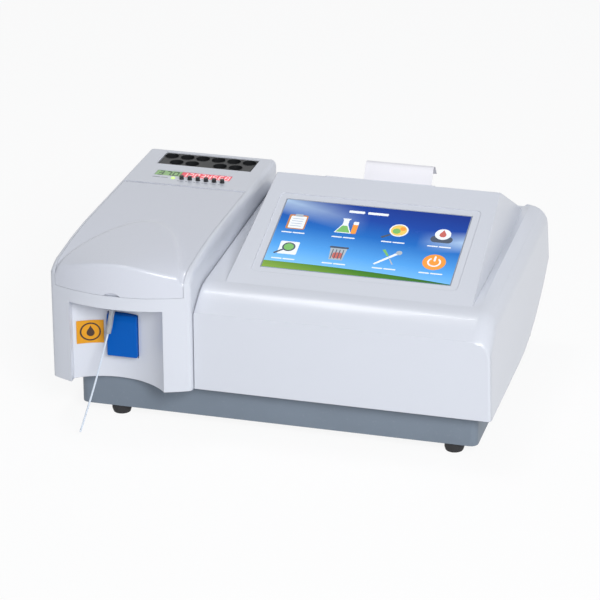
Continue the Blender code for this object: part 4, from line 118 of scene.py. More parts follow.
def surface(name, colour, roughness=0.4, grain=1400.0, bump=0.06, variation=0.04, metallic=0.0, edge=0.6,
            stretch=(1, 1, 1), coat=0.0, glow=0.0, spec=0.5, transmission=0.0, patch=30.0, wear=0.0):
    """Moulded, turned or printed surface: grain in the bump, patches in colour and gloss, rounded edges."""
    mat = bpy.data.materials.new(name)
    mat.use_nodes = True
    tree = mat.node_tree
    shader = tree.nodes["Principled BSDF"]
    place = tree.nodes.new("ShaderNodeTexCoord").outputs["Object"]
    mapping = tree.nodes.new("ShaderNodeMapping")
    mapping.inputs["Scale"].default_value = stretch
    link(tree, place, mapping.inputs["Vector"])
    fine = noise(tree, mapping.outputs["Vector"], grain, 2.0)
    broad = noise(tree, place, patch, 2.0)
    dark = tuple(c * (1 - variation) for c in colour)
    light = tuple(min(1.0, c * (1 + variation)) for c in colour)
    tone = mixed(tree, spread_to(tree, broad, 0, 1), dark, light)
    if wear:
        tone = worn(tree, tone, place, colour, wear)
    link(tree, tone, shader.inputs["Base Color"])
    gloss = spread_to(tree, broad, roughness * (1 - GLOSS_SPREAD), min(1.0, roughness * (1 + GLOSS_SPREAD)))
    link(tree, gloss, shader.inputs["Roughness"])
    rounding = tree.nodes.new("ShaderNodeBevel")
    rounding.samples = ROUNDING_SAMPLES
    rounding.inputs["Radius"].default_value = edge * MM
    relief = tree.nodes.new("ShaderNodeBump")
    relief.inputs["Strength"].default_value = bump
    relief.inputs["Distance"].default_value = RELIEF_DEPTH * MM
    link(tree, fine, relief.inputs["Height"])
    link(tree, rounding.outputs["Normal"], relief.inputs["Normal"])
    link(tree, relief.outputs["Normal"], shader.inputs["Normal"])
    shader.inputs["Metallic"].default_value = metallic
    shader.inputs["Coat Weight"].default_value = coat
    shader.inputs["Coat Roughness"].default_value = COAT_ROUGHNESS
    shader.inputs["Specular IOR Level"].default_value = spec
    shader.inputs["Transmission Weight"].default_value = transmission
    if glow:
        link(tree, tone, shader.inputs["Emission Color"])
        shader.inputs["Emission Strength"].default_value = glow
    return mat


def worn(tree, tone, place, colour, wear):
    """Handling marks: sparse fine scuffs a shade lighter than the surface."""
    marks = noise(tree, place, SCUFF_SCALE, SCUFF_DETAIL)
    share = spread_to(tree, marks, 0, wear, SCUFFS_START, SCUFFS_FULL)
    return mixed(tree, share, tone, [c + (1 - c) * SCUFF_LIGHTER for c in colour])


def calculate(tree, kind, first, second, clamp=False):
    """One sum on two numbers or sockets."""
    node = tree.nodes.new("ShaderNodeMath")
    node.operation = kind
    node.use_clamp = clamp
    for socket, value in zip(node.inputs, (first, second)):
        if isinstance(value, (int, float)):
            socket.default_value = value
        else:
            link(tree, value, socket)
    return node.outputs["Value"]


def picture_material(name, ramp_by, stops, glow=0.36, cloud=False):
    """A lit picture: a ramp across the panel, with a cloud band on the sky."""
    mat = bpy.data.materials.new(name)
    mat.use_nodes = True
    tree = mat.node_tree
    shader = tree.nodes["Principled BSDF"]
    coordinates = tree.nodes.new("ShaderNodeTexCoord").outputs["Generated"]
    split = tree.nodes.new("ShaderNodeSeparateXYZ")
    link(tree, coordinates, split.inputs["Vector"])
    across, up = split.outputs["X"], split.outputs["Y"]
    ramp = tree.nodes.new("ShaderNodeValToRGB")
    ramp.color_ramp.elements[0].color = (*stops[0][1], 1)
    ramp.color_ramp.elements[1].color = (*stops[-1][1], 1)
    for position, colour in stops[1:-1]:
        ramp.color_ramp.elements.new(position).color = (*colour, 1)
    sideways = calculate(tree, "MULTIPLY", across, ramp_by[0])
    upwards = calculate(tree, "MULTIPLY", up, ramp_by[1])
    link(tree, calculate(tree, "ADD", sideways, upwards), ramp.inputs["Fac"])
    tone = ramp.outputs["Color"]
    if cloud:
        soft = spread_to(tree, noise(tree, coordinates, 4.0, 3.0), 0.55, 1.0)
        for level, fall, half, start, end in CLOUD_BANDS:
            line = calculate(tree, "SUBTRACT", level, calculate(tree, "MULTIPLY", across, fall))
            off = calculate(tree, "ABSOLUTE", calculate(tree, "SUBTRACT", up, line), 0.0)
            band = calculate(tree, "SUBTRACT", 1.0, calculate(tree, "DIVIDE", off, half), True)
            reach = calculate(tree, "ADD", calculate(tree, "MULTIPLY", across, end), start, True)
            share = calculate(tree, "MULTIPLY", calculate(tree, "MULTIPLY", band, reach), soft)
            tone = mixed(tree, share, tone, CLOUD_COLOUR)
    link(tree, tone, shader.inputs["Base Color"])
    link(tree, tone, shader.inputs["Emission Color"])
    link(tree, spread_to(tree, noise(tree, coordinates, 9.0, 2.0), 0.2, 0.3), shader.inputs["Roughness"])
    shader.inputs["Emission Strength"].default_value = glow
    shader.inputs["Specular IOR Level"].default_value = 0.1
    return mat


WHITE = surface("white_plastic", (0.66, 0.685, 0.745), 0.3, bump=0.03, variation=0.008, coat=0.15,
                patch=9.0)
SMOOTH_WHITE = surface("white_lid_plastic", (0.645, 0.668, 0.735), 0.28, bump=0.03, variation=0.008,
                       coat=0.15, edge=0.4, patch=9.0)
GREY = surface("grey_base_plastic", (0.175, 0.215, 0.265), 0.5, grain=1000, bump=0.14, variation=0.05,
               wear=0.08)
RUBBER = surface("black_foot_rubber", (0.018, 0.018, 0.02), 0.75, grain=2200, bump=0.3, variation=0.2)
BLOCK = surface("anodised_block", (0.018, 0.019, 0.021), 0.4, grain=1800, bump=0.12, spec=0.2,
                variation=0.1, edge=0.4)
PUMP_DARK = surface("dark_pump_plastic", (0.06, 0.065, 0.075), 0.45, variation=0.08, bump=0.12)
BLACK = surface("black_key_plastic", (0.012, 0.012, 0.014), 0.35, variation=0.15, edge=0.25)
BLUE = surface("blue_key_plastic", (0.0, 0.10, 0.45), 0.35, bump=0.04, variation=0.06, spec=0.1, edge=0.8)
AMBER = surface("amber_film", (0.74, 0.33, 0.025), 0.5, spec=0.1, bump=0.03, variation=0.05, edge=0.1,
                patch=90)
GREEN_WINDOW = surface("green_window", (0.22, 0.42, 0.14), 0.3, variation=0.3, coat=0.1, edge=0.2,
                       glow=0.16, patch=220)
RED_WINDOW = surface("red_window", (0.78, 0.035, 0.075), 0.3, variation=0.15, coat=0.1, edge=0.2,
                     glow=0.25, patch=220)
LED = surface("status_lens", (0.55, 0.9, 0.22), 0.15, glow=0.7, variation=0.1, edge=0.3)
GLASS_FACE = surface("screen_bezel_film", (0.30, 0.36, 0.46), 0.18, bump=0.0, variation=0.03, edge=0.2)
STEEL = surface("brushed_steel", (0.56, 0.57, 0.59), 0.28, grain=900, bump=0.12, metallic=1.0,
                stretch=(0.05, 1, 1))
ALUMINIUM = surface("machined_aluminium", (0.66, 0.67, 0.69), 0.36, grain=1100, bump=0.14, metallic=1.0,
                    stretch=(1, 0.06, 1), variation=0.06)
TUBING = surface("milky_tubing", (0.66, 0.73, 0.82), 0.25, bump=0.0, variation=0.03, edge=0.1)
SILICONE = surface("orange_silicone", (0.62, 0.19, 0.04), 0.55, grain=600, bump=0.1, variation=0.12)
CIRCUIT = surface("circuit_board", (0.015, 0.15, 0.06), 0.35, grain=500, bump=0.2, variation=0.3, patch=240)
LAMP_GLASS = surface("lamp_glass", (0.9, 0.93, 0.96), 0.05, bump=0.0, transmission=0.9, edge=0.2)
CLIP = surface("clear_clip", (0.62, 0.64, 0.67), 0.12, bump=0.0, variation=0.22, transmission=0.55,
               edge=0.2, patch=160)
PAPER = surface("thermal_paper", (0.86, 0.85, 0.885), 0.8, grain=2600, bump=0.12, variation=0.02, edge=0.1)

LOOKS = {
    "main_housing": WHITE, "module_housing": WHITE, "flow_cell_lid": WHITE, "sipper_clip": CLIP,
    "printer_frame": WHITE, "printer_cover": WHITE, "base_tray": GREY, "foot_1": RUBBER, "foot_2": RUBBER,
    "foot_3": RUBBER, "foot_4": RUBBER, "platen_roller": RUBBER, "incubator_block": BLOCK,
    "pump_housing": PUMP_DARK, "print_head": BLOCK, "aspirate_switch": BLACK, "filter_wheel": BLACK,
    "fan_frame": BLACK, "fan_rotor": BLACK, "power_inlet": BLACK, "power_switch": BLACK,
    "aspirate_key": BLUE, "feed_button": BLUE, "caution_label": AMBER, "temperature_display": GREEN_WINDOW,
    "timer_display": RED_WINDOW, "status_led": LED, "touch_screen": GLASS_FACE, "lid_hinge_pin": STEEL,
    "aspirate_key_pin": STEEL, "printer_hinge_pin": STEEL, "flow_cell": STEEL, "pump_motor": STEEL,
    "filter_motor": STEEL, "screen_bracket": STEEL, "serial_port": STEEL, "ground_terminal": STEEL,
    "flow_cell_holder": ALUMINIUM, "pump_rotor": ALUMINIUM, "optics_bench": ALUMINIUM,
    "lamp_housing": ALUMINIUM, "power_supply": ALUMINIUM, "sipper_tube": TUBING, "pump_roller_1": TUBING,
    "pump_roller_2": TUBING, "pump_roller_3": TUBING, "incubator_heater": SILICONE, "pump_tube": SILICONE,
    "display_board": CIRCUIT, "detector_board": CIRCUIT, "main_board": CIRCUIT, "halogen_lamp": LAMP_GLASS,
    "paper_roll": PAPER, "paper_strip": PAPER,
}
for number in range(1, 7):
    LOOKS[f"key_{number}"] = BLACK


WELD_DISTANCE, FLAT_ANGLE, SHARP_ANGLE = 0.02, 1.5, 24


def dress(node, material):
    """Gives a carried-over solid its material and smooth shading between its sharp edges."""
    mesh = node.data
    mesh.materials.clear()
    mesh.materials.append(material)
    if "custom_normal" in mesh.attributes:
        mesh.attributes.remove(mesh.attributes["custom_normal"])
    mesh.polygons.foreach_set("use_smooth", [True] * len(mesh.polygons))
    weld = node.modifiers.new("weld", "WELD")
    weld.merge_threshold = WELD_DISTANCE * MM
    merge = node.modifiers.new("merge", "DECIMATE")
    merge.decimate_type = "DISSOLVE"
    merge.angle_limit = math.radians(FLAT_ANGLE)
    split = node.modifiers.new("sharp", "EDGE_SPLIT")
    split.split_angle = math.radians(SHARP_ANGLE)
    weigh = node.modifiers.new("weigh", "WEIGHTED_NORMAL")
    weigh.keep_sharp = True


for name, material in LOOKS.items():
    dress(NODES[name], material)


# Mesh pieces

def piece(name, form, material, body="chassis", place=INSTRUMENT, smooth=False):
    bmesh.ops.recalc_face_normals(form, faces=form.faces)
    mesh = bpy.data.meshes.new(name)
    form.to_mesh(mesh)
    form.free()
    mesh.materials.append(material)
    if smooth:
        mesh.polygons.foreach_set("use_smooth", [True] * len(mesh.polygons))
    obj = bpy.data.objects.new(name, mesh)
    bpy.context.scene.collection.objects.link(obj)
    obj.matrix_world = place @ Matrix.Scale(MM, 4)
    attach(obj, body)
    return obj


def plate(form, outline, low, high):
    """A flat outline in millimetres, given thickness."""
    face = form.faces.new([form.verts.new((x, y, low)) for x, y in outline])
    grown = bmesh.ops.extrude_face_region(form, geom=[face])["geom"]
    lid = [v for v in grown if isinstance(v, bmesh.types.BMVert)]
    bmesh.ops.translate(form, vec=(0, 0, high - low), verts=lid)


def rounded(x, y, width, height, radius, steps=4):
    """Outline of a rectangle with round corners about a centre."""
    points = []
    for quarter, (side, up) in enumerate(((1, 1), (-1, 1), (-1, -1), (1, -1))):
        for i in range(steps + 1):
            angle = (quarter + i / steps) * math.pi / 2
            points.append((x + side * (width / 2 - radius) + radius * math.cos(angle),
                           y + up * (height / 2 - radius) + radius * math.sin(angle)))
    return points


def circle(x, y, radius, count=24):
    return [(x + radius * math.cos(2 * math.pi * i / count), y + radius * math.sin(2 * math.pi * i / count))
            for i in range(count)]


def ring_strip(form, x, y, inner, outer, low, high, count=28, start=0.0, end=2 * math.pi):
    """A flat ring, or an arc of one."""
    for i in range(count):
        a, b = (start + (end - start) * (i + s) / count for s in (0, 1))
        plate(form, [(x + inner * math.cos(a), y + inner * math.sin(a)),
                     (x + outer * math.cos(a), y + outer * math.sin(a)),
                     (x + outer * math.cos(b), y + outer * math.sin(b)),
                     (x + inner * math.cos(b), y + inner * math.sin(b))], low, high)


def turned(form, centre, axis, profile, sides=24):
    """A turned shape from (radius, distance along the axis) pairs."""
    turn = Vector(axis).normalized().to_track_quat("Z", "Y").to_matrix()
    rows = []
    for radius, along in profile:
        row = []
        for i in range(sides):
            angle = 2 * math.pi * i / sides
            row.append(form.verts.new(Vector(centre) + turn @ Vector(
                (radius * math.cos(angle), radius * math.sin(angle), along))))
        rows.append(row)
    for row, after in zip(rows, rows[1:]):
        for i in range(sides):
            j = (i + 1) % sides
            form.faces.new((row[i], row[j], after[j], after[i]))
    form.faces.new(rows[0][::-1])
    form.faces.new(rows[-1])


# Flow-cell lid with its brow, finer than its solid

MODULE_X = -58.15
LID_LEFT, LID_RIGHT, LID_LOW = -110.8, -5.5, 115.2
HINGE_Y, HINGE_Z, KNUCKLE = 165.0, 137.4, 2.6
BROW_X, BROW_HALF_WIDTH, BROW_APEX_Y, BROW_LENGTH = MODULE_X - 0.4, 51.5, 83, 86
BROW_TOP, BROW_RISE = 141.3, 0.8
BROW_DROP, BROW_FRONT_DROP, DROP_START, DROP_REACH = 1.5, 14.5, -19, 25
ROOF_FALL, FALL_START, FALL_POWER = 7, 95, 2.2
NOSE_RADIUS, NOSE_START = 22.0, 8
FRONT_CENTRE_Y, FRONT_RADIUS = 105, 124
EDGE_ROUND, LID_WALL, LID_SHARP_ANGLE = 2.5, 2.0, 40
LID_COLUMNS, FRONT_ROWS, EDGE_ROWS, ROOF_ROWS, ROOF_CROWDING = 84, 5, 8, 60, 1.15
NOTCH_X, NOTCH_Z, NOTCH_RADIUS = MODULE_X - 2.3, 107.8, 10
SCOOP_HALF_WIDTH, SCOOP_COLUMNS = 11.2, 16
SCOOP_SECTION = ((1.1, 119.2), (1.5, 117.2), (1.7, LID_LOW + 0.2), (2.9, LID_LOW + 0.2), (2.9, 119.2))


def ease(value):
    share = max(0.0, min(1.0, value))
    return share * share * (3 - 2 * share)


def roof_height(y):
    fall = ROOF_FALL * max(0.0, (FALL_START - y) / FALL_START) ** FALL_POWER
    over = min(NOSE_RADIUS, max(0.0, NOSE_START - y))
    return ROOF_TOP - fall - NOSE_RADIUS + math.sqrt(NOSE_RADIUS**2 - over**2)


def lid_height(x, y):
    across, along = (x - BROW_X) / BROW_HALF_WIDTH, (BROW_APEX_Y - y) / BROW_LENGTH
    slope = math.hypot(2 * across / BROW_HALF_WIDTH, 1 / BROW_LENGTH)
    lift = ease((along - across**2) / slope / 4)
    drop = BROW_DROP + BROW_FRONT_DROP * math.exp((DROP_START - y) / DROP_REACH)
    brow = BROW_TOP + BROW_RISE * max(0.0, min(1.0, along)) - drop * across**2
    return max(roof_height(y), roof_height(y) + (brow - roof_height(y)) * lift)


def lid_front(x):
    """The bowed front of the lid in plan."""
    return FRONT_CENTRE_Y - math.sqrt(FRONT_RADIUS**2 - (x - MODULE_X) ** 2)


def lid_section(x):
    """The lid's outer face from its front foot to the hinge, as (y, z) pairs."""
    front = lid_front(x)
    notch = NOTCH_RADIUS**2 - (x - NOTCH_X) ** 2
    low = max(LID_LOW, NOTCH_Z + math.sqrt(notch)) if notch > 0 else LID_LOW
    top = lid_height(x, front + 0.5) - EDGE_ROUND
    points = [(front, low + (top - low) * i / FRONT_ROWS) for i in range(FRONT_ROWS)]
    for i in range(EDGE_ROWS + 1):
        angle = math.pi / 2 * i / EDGE_ROWS
        y = front + EDGE_ROUND * (1 - math.cos(angle))
        points.append((y, lid_height(x, y) - EDGE_ROUND * (1 - math.sin(angle))))
    for i in range(1, ROOF_ROWS + 1):
        y = front + EDGE_ROUND + (HINGE_Y - front - EDGE_ROUND) * (i / ROOF_ROWS) ** ROOF_CROWDING
        points.append((y, lid_height(x, y)))
    return points


def build_lid():
    form = bmesh.new()
    rows = []
    for i in range(LID_COLUMNS + 1):
        x = LID_LEFT + (LID_RIGHT - LID_LEFT) * i / LID_COLUMNS
        rows.append([form.verts.new((x, y, z)) for y, z in lid_section(x)])
    for row, after in zip(rows, rows[1:]):
        for j in range(len(row) - 1):
            form.faces.new((row[j], row[j + 1], after[j + 1], after[j]))
    for row, x in ((rows[0], LID_LEFT), (rows[-1], LID_RIGHT)):
        crest = row[FRONT_ROWS:]
        feet = [form.verts.new((x, v.co.y, LID_LOW)) for v in crest]
        form.faces.new([*row[:FRONT_ROWS + 1], feet[0]])
        for j in range(len(crest) - 1):
            form.faces.new((crest[j], crest[j + 1], feet[j + 1], feet[j]))
    bmesh.ops.remove_doubles(form, verts=form.verts, dist=0.01)
    lid = piece("lid_shell", form, SMOOTH_WHITE, "flow_cell_lid", smooth=True)
    wall = lid.modifiers.new("wall", "SOLIDIFY")
    wall.thickness = LID_WALL
    wall.offset = -1
    sharp = lid.modifiers.new("sharp", "EDGE_SPLIT")
    sharp.split_angle = math.radians(LID_SHARP_ANGLE)
    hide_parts("flow_cell_lid")
    form = bmesh.new()
    turned(form, (LID_LEFT, HINGE_Y, HINGE_Z), (1, 0, 0), [(KNUCKLE, 0), (KNUCKLE, LID_RIGHT - LID_LEFT)])
    piece("lid_knuckle", form, SMOOTH_WHITE, "flow_cell_lid", smooth=True)


def build_scoop():
    """Closed back of the thumb notch, dished towards its foot."""
    form = bmesh.new()
    rows = []
    for i in range(SCOOP_COLUMNS + 1):
        x = NOTCH_X + SCOOP_HALF_WIDTH * (2 * i / SCOOP_COLUMNS - 1)
        rows.append([form.verts.new((x, lid_front(x) + depth, z)) for depth, z in SCOOP_SECTION])
    corners = len(SCOOP_SECTION)
    for row, after in zip(rows, rows[1:]):
        for j in range(corners):
            k = (j + 1) % corners
            form.faces.new((row[j], row[k], after[k], after[j]))
    form.faces.new(rows[0][::-1])
    form.faces.new(rows[-1])
    piece("thumb_scoop", form, SMOOTH_WHITE, "flow_cell_lid")


build_lid()
build_scoop()


# Touch screen picture

SCREEN_LEFT, SCREEN_RIGHT, SCREEN_LOW, SCREEN_HIGH = -76.85, 77.05, 22.9, 108.7
PICTURE_BACK, FILM, PICTURE_MARGIN = -0.9, -0.86, 1.2
ART_STEP, ART_SIZE = 0.03, 1.42
ICON_COLUMNS, ICON_ROWS = (0.1, 0.37, 0.635, 0.88), (0.3, 0.68)


def on_screen(share_x, share_y):
    return (SCREEN_LEFT + share_x * (SCREEN_RIGHT - SCREEN_LEFT),
            SCREEN_LOW + share_y * (SCREEN_HIGH - SCREEN_LOW))


def build_screen_picture():
    mid_x, mid_y = (SCREEN_LEFT + SCREEN_RIGHT) / 2, (SCREEN_LOW + SCREEN_HIGH) / 2
    width, height = SCREEN_RIGHT - SCREEN_LEFT - PICTURE_MARGIN, SCREEN_HIGH - SCREEN_LOW - PICTURE_MARGIN
    form = bmesh.new()
    plate(form, rounded(mid_x, mid_y, width, height, 0.8), PICTURE_BACK, FILM)
    sky = picture_material("screen_sky", (0.16, 0.84), (
        (0.0, (0.24, 0.56, 0.88)), (0.3, (0.08, 0.32, 0.72)), (0.55, (0.012, 0.13, 0.46)),
        (0.75, (0.008, 0.055, 0.32)), (1.0, (0.006, 0.026, 0.21))), cloud=True)
    piece("screen_picture", form, sky, place=PANEL)
    form = bmesh.new()
    left, low = mid_x - width / 2, mid_y - height / 2
    rim = [(left + width * i / 24, low + height * (0.094 - 0.086 * (i / 24) ** 2.4)) for i in range(25)]
    plate(form, [(left, low), (left + width, low)] + rim[::-1], FILM, FILM + 0.02)
    field = picture_material("screen_field", (0.8, 0.2), (
        (0.0, (0.22, 0.36, 0.06)), (0.5, (0.055, 0.19, 0.02)), (1.0, (0.008, 0.07, 0.02))))
    piece("screen_field", form, field, place=PANEL)
    art = {}

    def spot(column, row):
        return on_screen(ICON_COLUMNS[column], ICON_ROWS[row])

    def add(colour, outline, level, centre=(0, 0), grow=ART_SIZE):
        form = art.setdefault(colour, bmesh.new())
        placed = [(centre[0] + x * grow, centre[1] + y * grow) for x, y in outline]
        plate(form, placed, FILM, FILM + ART_STEP * level)

    def ring(colour, centre, x, y, inner, outer, level, start=0, end=360):
        form = art.setdefault(colour, bmesh.new())
        ring_strip(form, centre[0] + x * ART_SIZE, centre[1] + y * ART_SIZE, inner * ART_SIZE,
                   outer * ART_SIZE, FILM, FILM + ART_STEP * level, start=math.radians(start),
                   end=math.radians(end))

    at = spot(0, 1)
    add("brown", rounded(0, -0.2, 11, 12.6, 1), 1, at)
    add("white", rounded(0.2, -0.4, 9, 10.6, 0.6), 2, at)
    add("grey", rounded(0, 5.6, 4.6, 2.2, 0.6), 3, at)
    for i in range(4):
        add("grey", rounded(0, 2.6 - 2.1 * i, 6.4, 0.5, 0.2), 3, at)
    at = spot(1, 1)
    add("white", [(-6.4, -5.8), (3.4, -5.8), (0.2, 1.8), (0.2, 6.2), (-3, 6.2), (-3, 1.8)], 1, at)
    add("leaf", [(-5.6, -5.2), (2.6, -5.2), (0, 0.6), (-2.8, 0.6)], 2, at)
    add("white", rounded(-1.4, 6.4, 4.6, 1, 0.4), 2, at)
    add("orange", rounded(4.6, -1.6, 3, 8.4, 0.8), 2, at)
    add("white", rounded(4.6, 3.4, 3, 2.6, 0.5), 3, at)
    at = spot(2, 1)
    add("white", circle(1.2, 1, 5.4), 1, at)
    add("yellow", circle(1.2, 1, 4.6), 2, at)
    add("leaf", circle(0, 0.2, 2.3, 14), 3, at)
    add("orange", circle(3.2, 2.6, 1.7, 12), 3, at)
    add("slate", [(-2.4, -3.6), (-3.2, -2.6), (-8, -5.6), (-7, -6.8)], 3, at)
    at = spot(3, 1)
    add("slate", rounded(0, -3.2, 12.6, 5.6, 2.6), 1, at)
    add("white", circle(0, 1.2, 4.6), 2, at)
    add("red", [(0, 5.0), (-1.9, 1.4), (-1.9, -0.1), (-0.8, -1.2), (0.8, -1.2), (1.9, -0.1),
                (1.9, 1.4)], 3, at)
    at = spot(0, 0)
    add("white", rounded(0.8, 0, 11, 11, 0.7), 1, at)
    ring("slate", at, 0.8, 0.8, 2.9, 3.8, 3)
    add("leaf", circle(0.8, 0.8, 2.9), 2, at)
    add("slate", [(-1.3, -1.9), (-2.1, -1.1), (-6.9, -5), (-6.1, -5.9)], 3, at)
    at = spot(1, 0)
    add("grey", [(-3.8, -6.2), (3.8, -6.2), (4.8, 3.6), (-4.8, 3.6)], 1, at)
    add("slate", rounded(0, 4.4, 11, 1.5, 0.6), 2, at)
    add("red", rounded(0.2, -2.4, 5.4, 5, 1.4), 2, at)
    for i in range(4):
        add("slate", rounded(-3 + 2 * i, -1.4, 0.5, 8, 0.2), 3, at)
    at = spot(2, 0)
    add("white", [(-7, -6), (-6, -6.8), (6.4, 4.2), (7, 6), (5, 5.4)], 1, at)
    add("grey", circle(5.6, 4.8, 1.8, 14), 2, at)
    add("leaf", [(-4.4, 6.2), (-2.6, 6.6), (0.4, 1.6), (-0.6, 1)], 2, at)
    add("grey", [(0, 1.2), (0.6, 0.6), (4.2, -5.2), (3.4, -5.6)], 2, at)
    at = spot(3, 0)
    add("orange", circle(0, 0, 6.6, 36), 1, at)
    ring("white", at, 0, 0, 2.9, 3.9, 3, 125, 415)
    add("white", rounded(0, 2.9, 1.1, 4.4, 0.4), 3, at)
    for column in range(len(ICON_COLUMNS)):
        for row in range(len(ICON_ROWS)):
            at = spot(column, row)
            for shift, length in ((-5.4, 8.6), (4.6, 9.8)):
                add("white", rounded(shift, 0, length, 1.3, 0.5), 1, (at[0], at[1] - 13.6), 1)
    for shift, length in ((-8.4, 13), (9.2, 17)):
        add("white", rounded(shift, 0, length, 2.9, 0.8), 1, on_screen(0.45, 0.9), 1)
    colours = {"white": (0.80, 0.83, 0.87), "grey": (0.38, 0.43, 0.48), "slate": (0.03, 0.05, 0.09),
               "brown": (0.50, 0.19, 0.04), "yellow": (0.80, 0.55, 0.10), "leaf": (0.16, 0.44, 0.10),
               "orange": (0.86, 0.29, 0.02), "red": (0.50, 0.10, 0.08)}
    for colour, form in sorted(art.items()):
        look = surface("screen_" + colour, colours[colour], 0.3, bump=0.0, variation=0.1, patch=380,
                       glow=0.25, edge=0.05)
        piece("screen_icons_" + colour, form, look, place=PANEL)


build_screen_picture()


# Digits of the two small displays

FIGURES_LOW, FIGURES_THICKNESS, FIGURE_HEIGHT = 139.6, 0.15, 9.4
SEGMENTS = {"0": "abcdef", "1": "bc", "2": "abged", "3": "abgcd", "4": "fgbc", "5": "afgcd", "6": "afgedc",
            "7": "abc", "8": "abcdefg", "9": "abfgcd"}


def digit(form, value, x, y, width, height, low, high):
    """A seven-segment figure."""
    bar = width * 0.22
    spots = {"a": (0, 1, 1), "g": (0, 0, 1), "d": (0, -1, 1), "f": (-1, 0.5, 0), "b": (1, 0.5, 0),
             "e": (-1, -0.5, 0), "c": (1, -0.5, 0)}
    for segment in SEGMENTS[value]:
        side, up, level = spots[segment]
        cx, cy = x + side * (width - bar) / 2, y + up * (height - bar) / 2
        size = (width - bar * 1.3, bar) if level else (bar, height / 2 - bar * 1.15)
        plate(form, rounded(cx, cy, *size, min(size) * 0.3, 2), low, high)


def build_digits():
    low_z, high_z = FIGURES_LOW, FIGURES_LOW + FIGURES_THICKNESS
    dark = surface("green_digits", (0.01, 0.05, 0.01), 0.3, edge=0.05, bump=0)
    pale = surface("red_digits", (1.0, 0.62, 0.62), 0.3, edge=0.05, bump=0, glow=0.4)
    low, high = local_box("temperature_display")
    left = low.x
    middle = high.y - 5.7
    form = bmesh.new()
    for i, value in enumerate("370"):
        digit(form, value, left + 4.2 + 6.6 * i, middle, 5.0, FIGURE_HEIGHT, low_z, high_z)
    plate(form, circle(left + 14.1, middle - 4.2, 0.6, 10), low_z, high_z)
    piece("temperature_figures", form, dark)
    left = local_box("timer_display")[0].x
    form = bmesh.new()
    for i, value in enumerate("12034568"):
        digit(form, value, left + 3.2 + 5.3 * i, middle, 4.1, FIGURE_HEIGHT, low_z, high_z)
    piece("timer_figures", form, pale)


build_digits()


# Rings round the wells, screws and other fittings

WELLS_X, WELLS_Y, WELL_PITCH, HALF_ROW_GAP = -55.95, 228.75, 13.85, 7
FRONT_WELLS = (12.4, 26.25)
RIM_SIDES = 40
RIM_SECTION = ((6.0, 138.6), (6.0, 139.5), (6.15, 139.66), (6.4, 139.66), (6.55, 139.52))


def build_well_rings():
    """Rims of the back row of six wells and the front row of four."""
    spots = [(WELLS_X + (i - 2.5) * WELL_PITCH, WELLS_Y + HALF_ROW_GAP) for i in range(6)]
    spots += [(WELLS_X + side * offset, WELLS_Y - HALF_ROW_GAP) for side in (-1, 1)
              for offset in FRONT_WELLS]
    form = bmesh.new()
    for x, y in spots:
        loops = [[form.verts.new((*spot, z)) for spot in circle(x, y, radius, RIM_SIDES)]
                 for radius, z in RIM_SECTION]
        for loop, after in zip(loops, loops[1:]):
            for i in range(RIM_SIDES):
                j = (i + 1) % RIM_SIDES
                form.faces.new((loop[i], loop[j], after[j], after[i]))
    piece("well_rims", form, BLOCK, smooth=True)


def screw(form, centre, axis, radius=2.0, height=0.9):
    """Pan head with a cross recess."""
    turned(form, centre, axis, [(radius, 0), (radius, height * 0.45), (radius * 0.8, height * 0.85),
                                (radius * 0.45, height), (radius * 0.2, height * 0.62)], 20)


def build_screws():
    """Screws of the flow-cell holder, pump, power inlet and base, and the serial port's two posts."""
    form = bmesh.new()
    for x in (-74, -42.3):
        for y in (48, 76):
            screw(form, (x, y, 110.0), (0, 0, 1), 2.0, 1.1)
    for angle in (math.radians(a) for a in (38, 142, 232, 308)):
        x, y = MODULE_X + 23.2 * math.cos(angle), 124 + 23.2 * math.sin(angle)
        if y > 118:
            screw(form, (x, y, 108.3), (0, 0, 1), 1.5, 0.9)
    for x in (152, 214.5):
        screw(form, (x, 242.2, 44.2), (0, 1, 0), 1.3, 0.6)
    for x in (92.5, 117.5):
        turned(form, (x, 240.8, 30), (0, 1, 0), [(2.2, 0), (2.2, 2.6), (1.2, 2.6), (1.2, 3.4)], 6)
    for x, z in ((-60, 24), (20, 20), (80, 20), (140, 62), (200, 66)):
        screw(form, (x, 239.5, z), (0, 1, 0), 2.2, 0.8)
    piece("screws", form, STEEL, smooth=False)


COVER_FOOT, COVER_TILT = (108.5, 167.505, 159.94), -math.atan2(0.488561, 0.87253)
RIDGE_PITCH, RIDGE_LOW, RIDGE_HIGH = 2.6, 1.45, 1.95


def build_cover_grip():
    """Finger ridges on the printer cover."""
    axes = (INSTRUMENT @ Matrix.Translation(Vector(COVER_FOOT) * MM)
            @ Matrix.Rotation(COVER_TILT, 4, "X"))
    form = bmesh.new()
    for i in range(5):
        plate(form, rounded(14.5, 12 + RIDGE_PITCH * i, 30, 1.1, 0.5), RIDGE_LOW, RIDGE_HIGH)
    piece("cover_ridges", form, WHITE, "printer_cover", axes)


INK, STICKER_INK = 0.04, (-0.1, 0.06)
STICKER_X, STICKER_Z = MODULE_X - 27.4, 74.25
FACE_X, FACE_Y, FACE_RADIUS = MODULE_X - 5.3, -52, 57.35


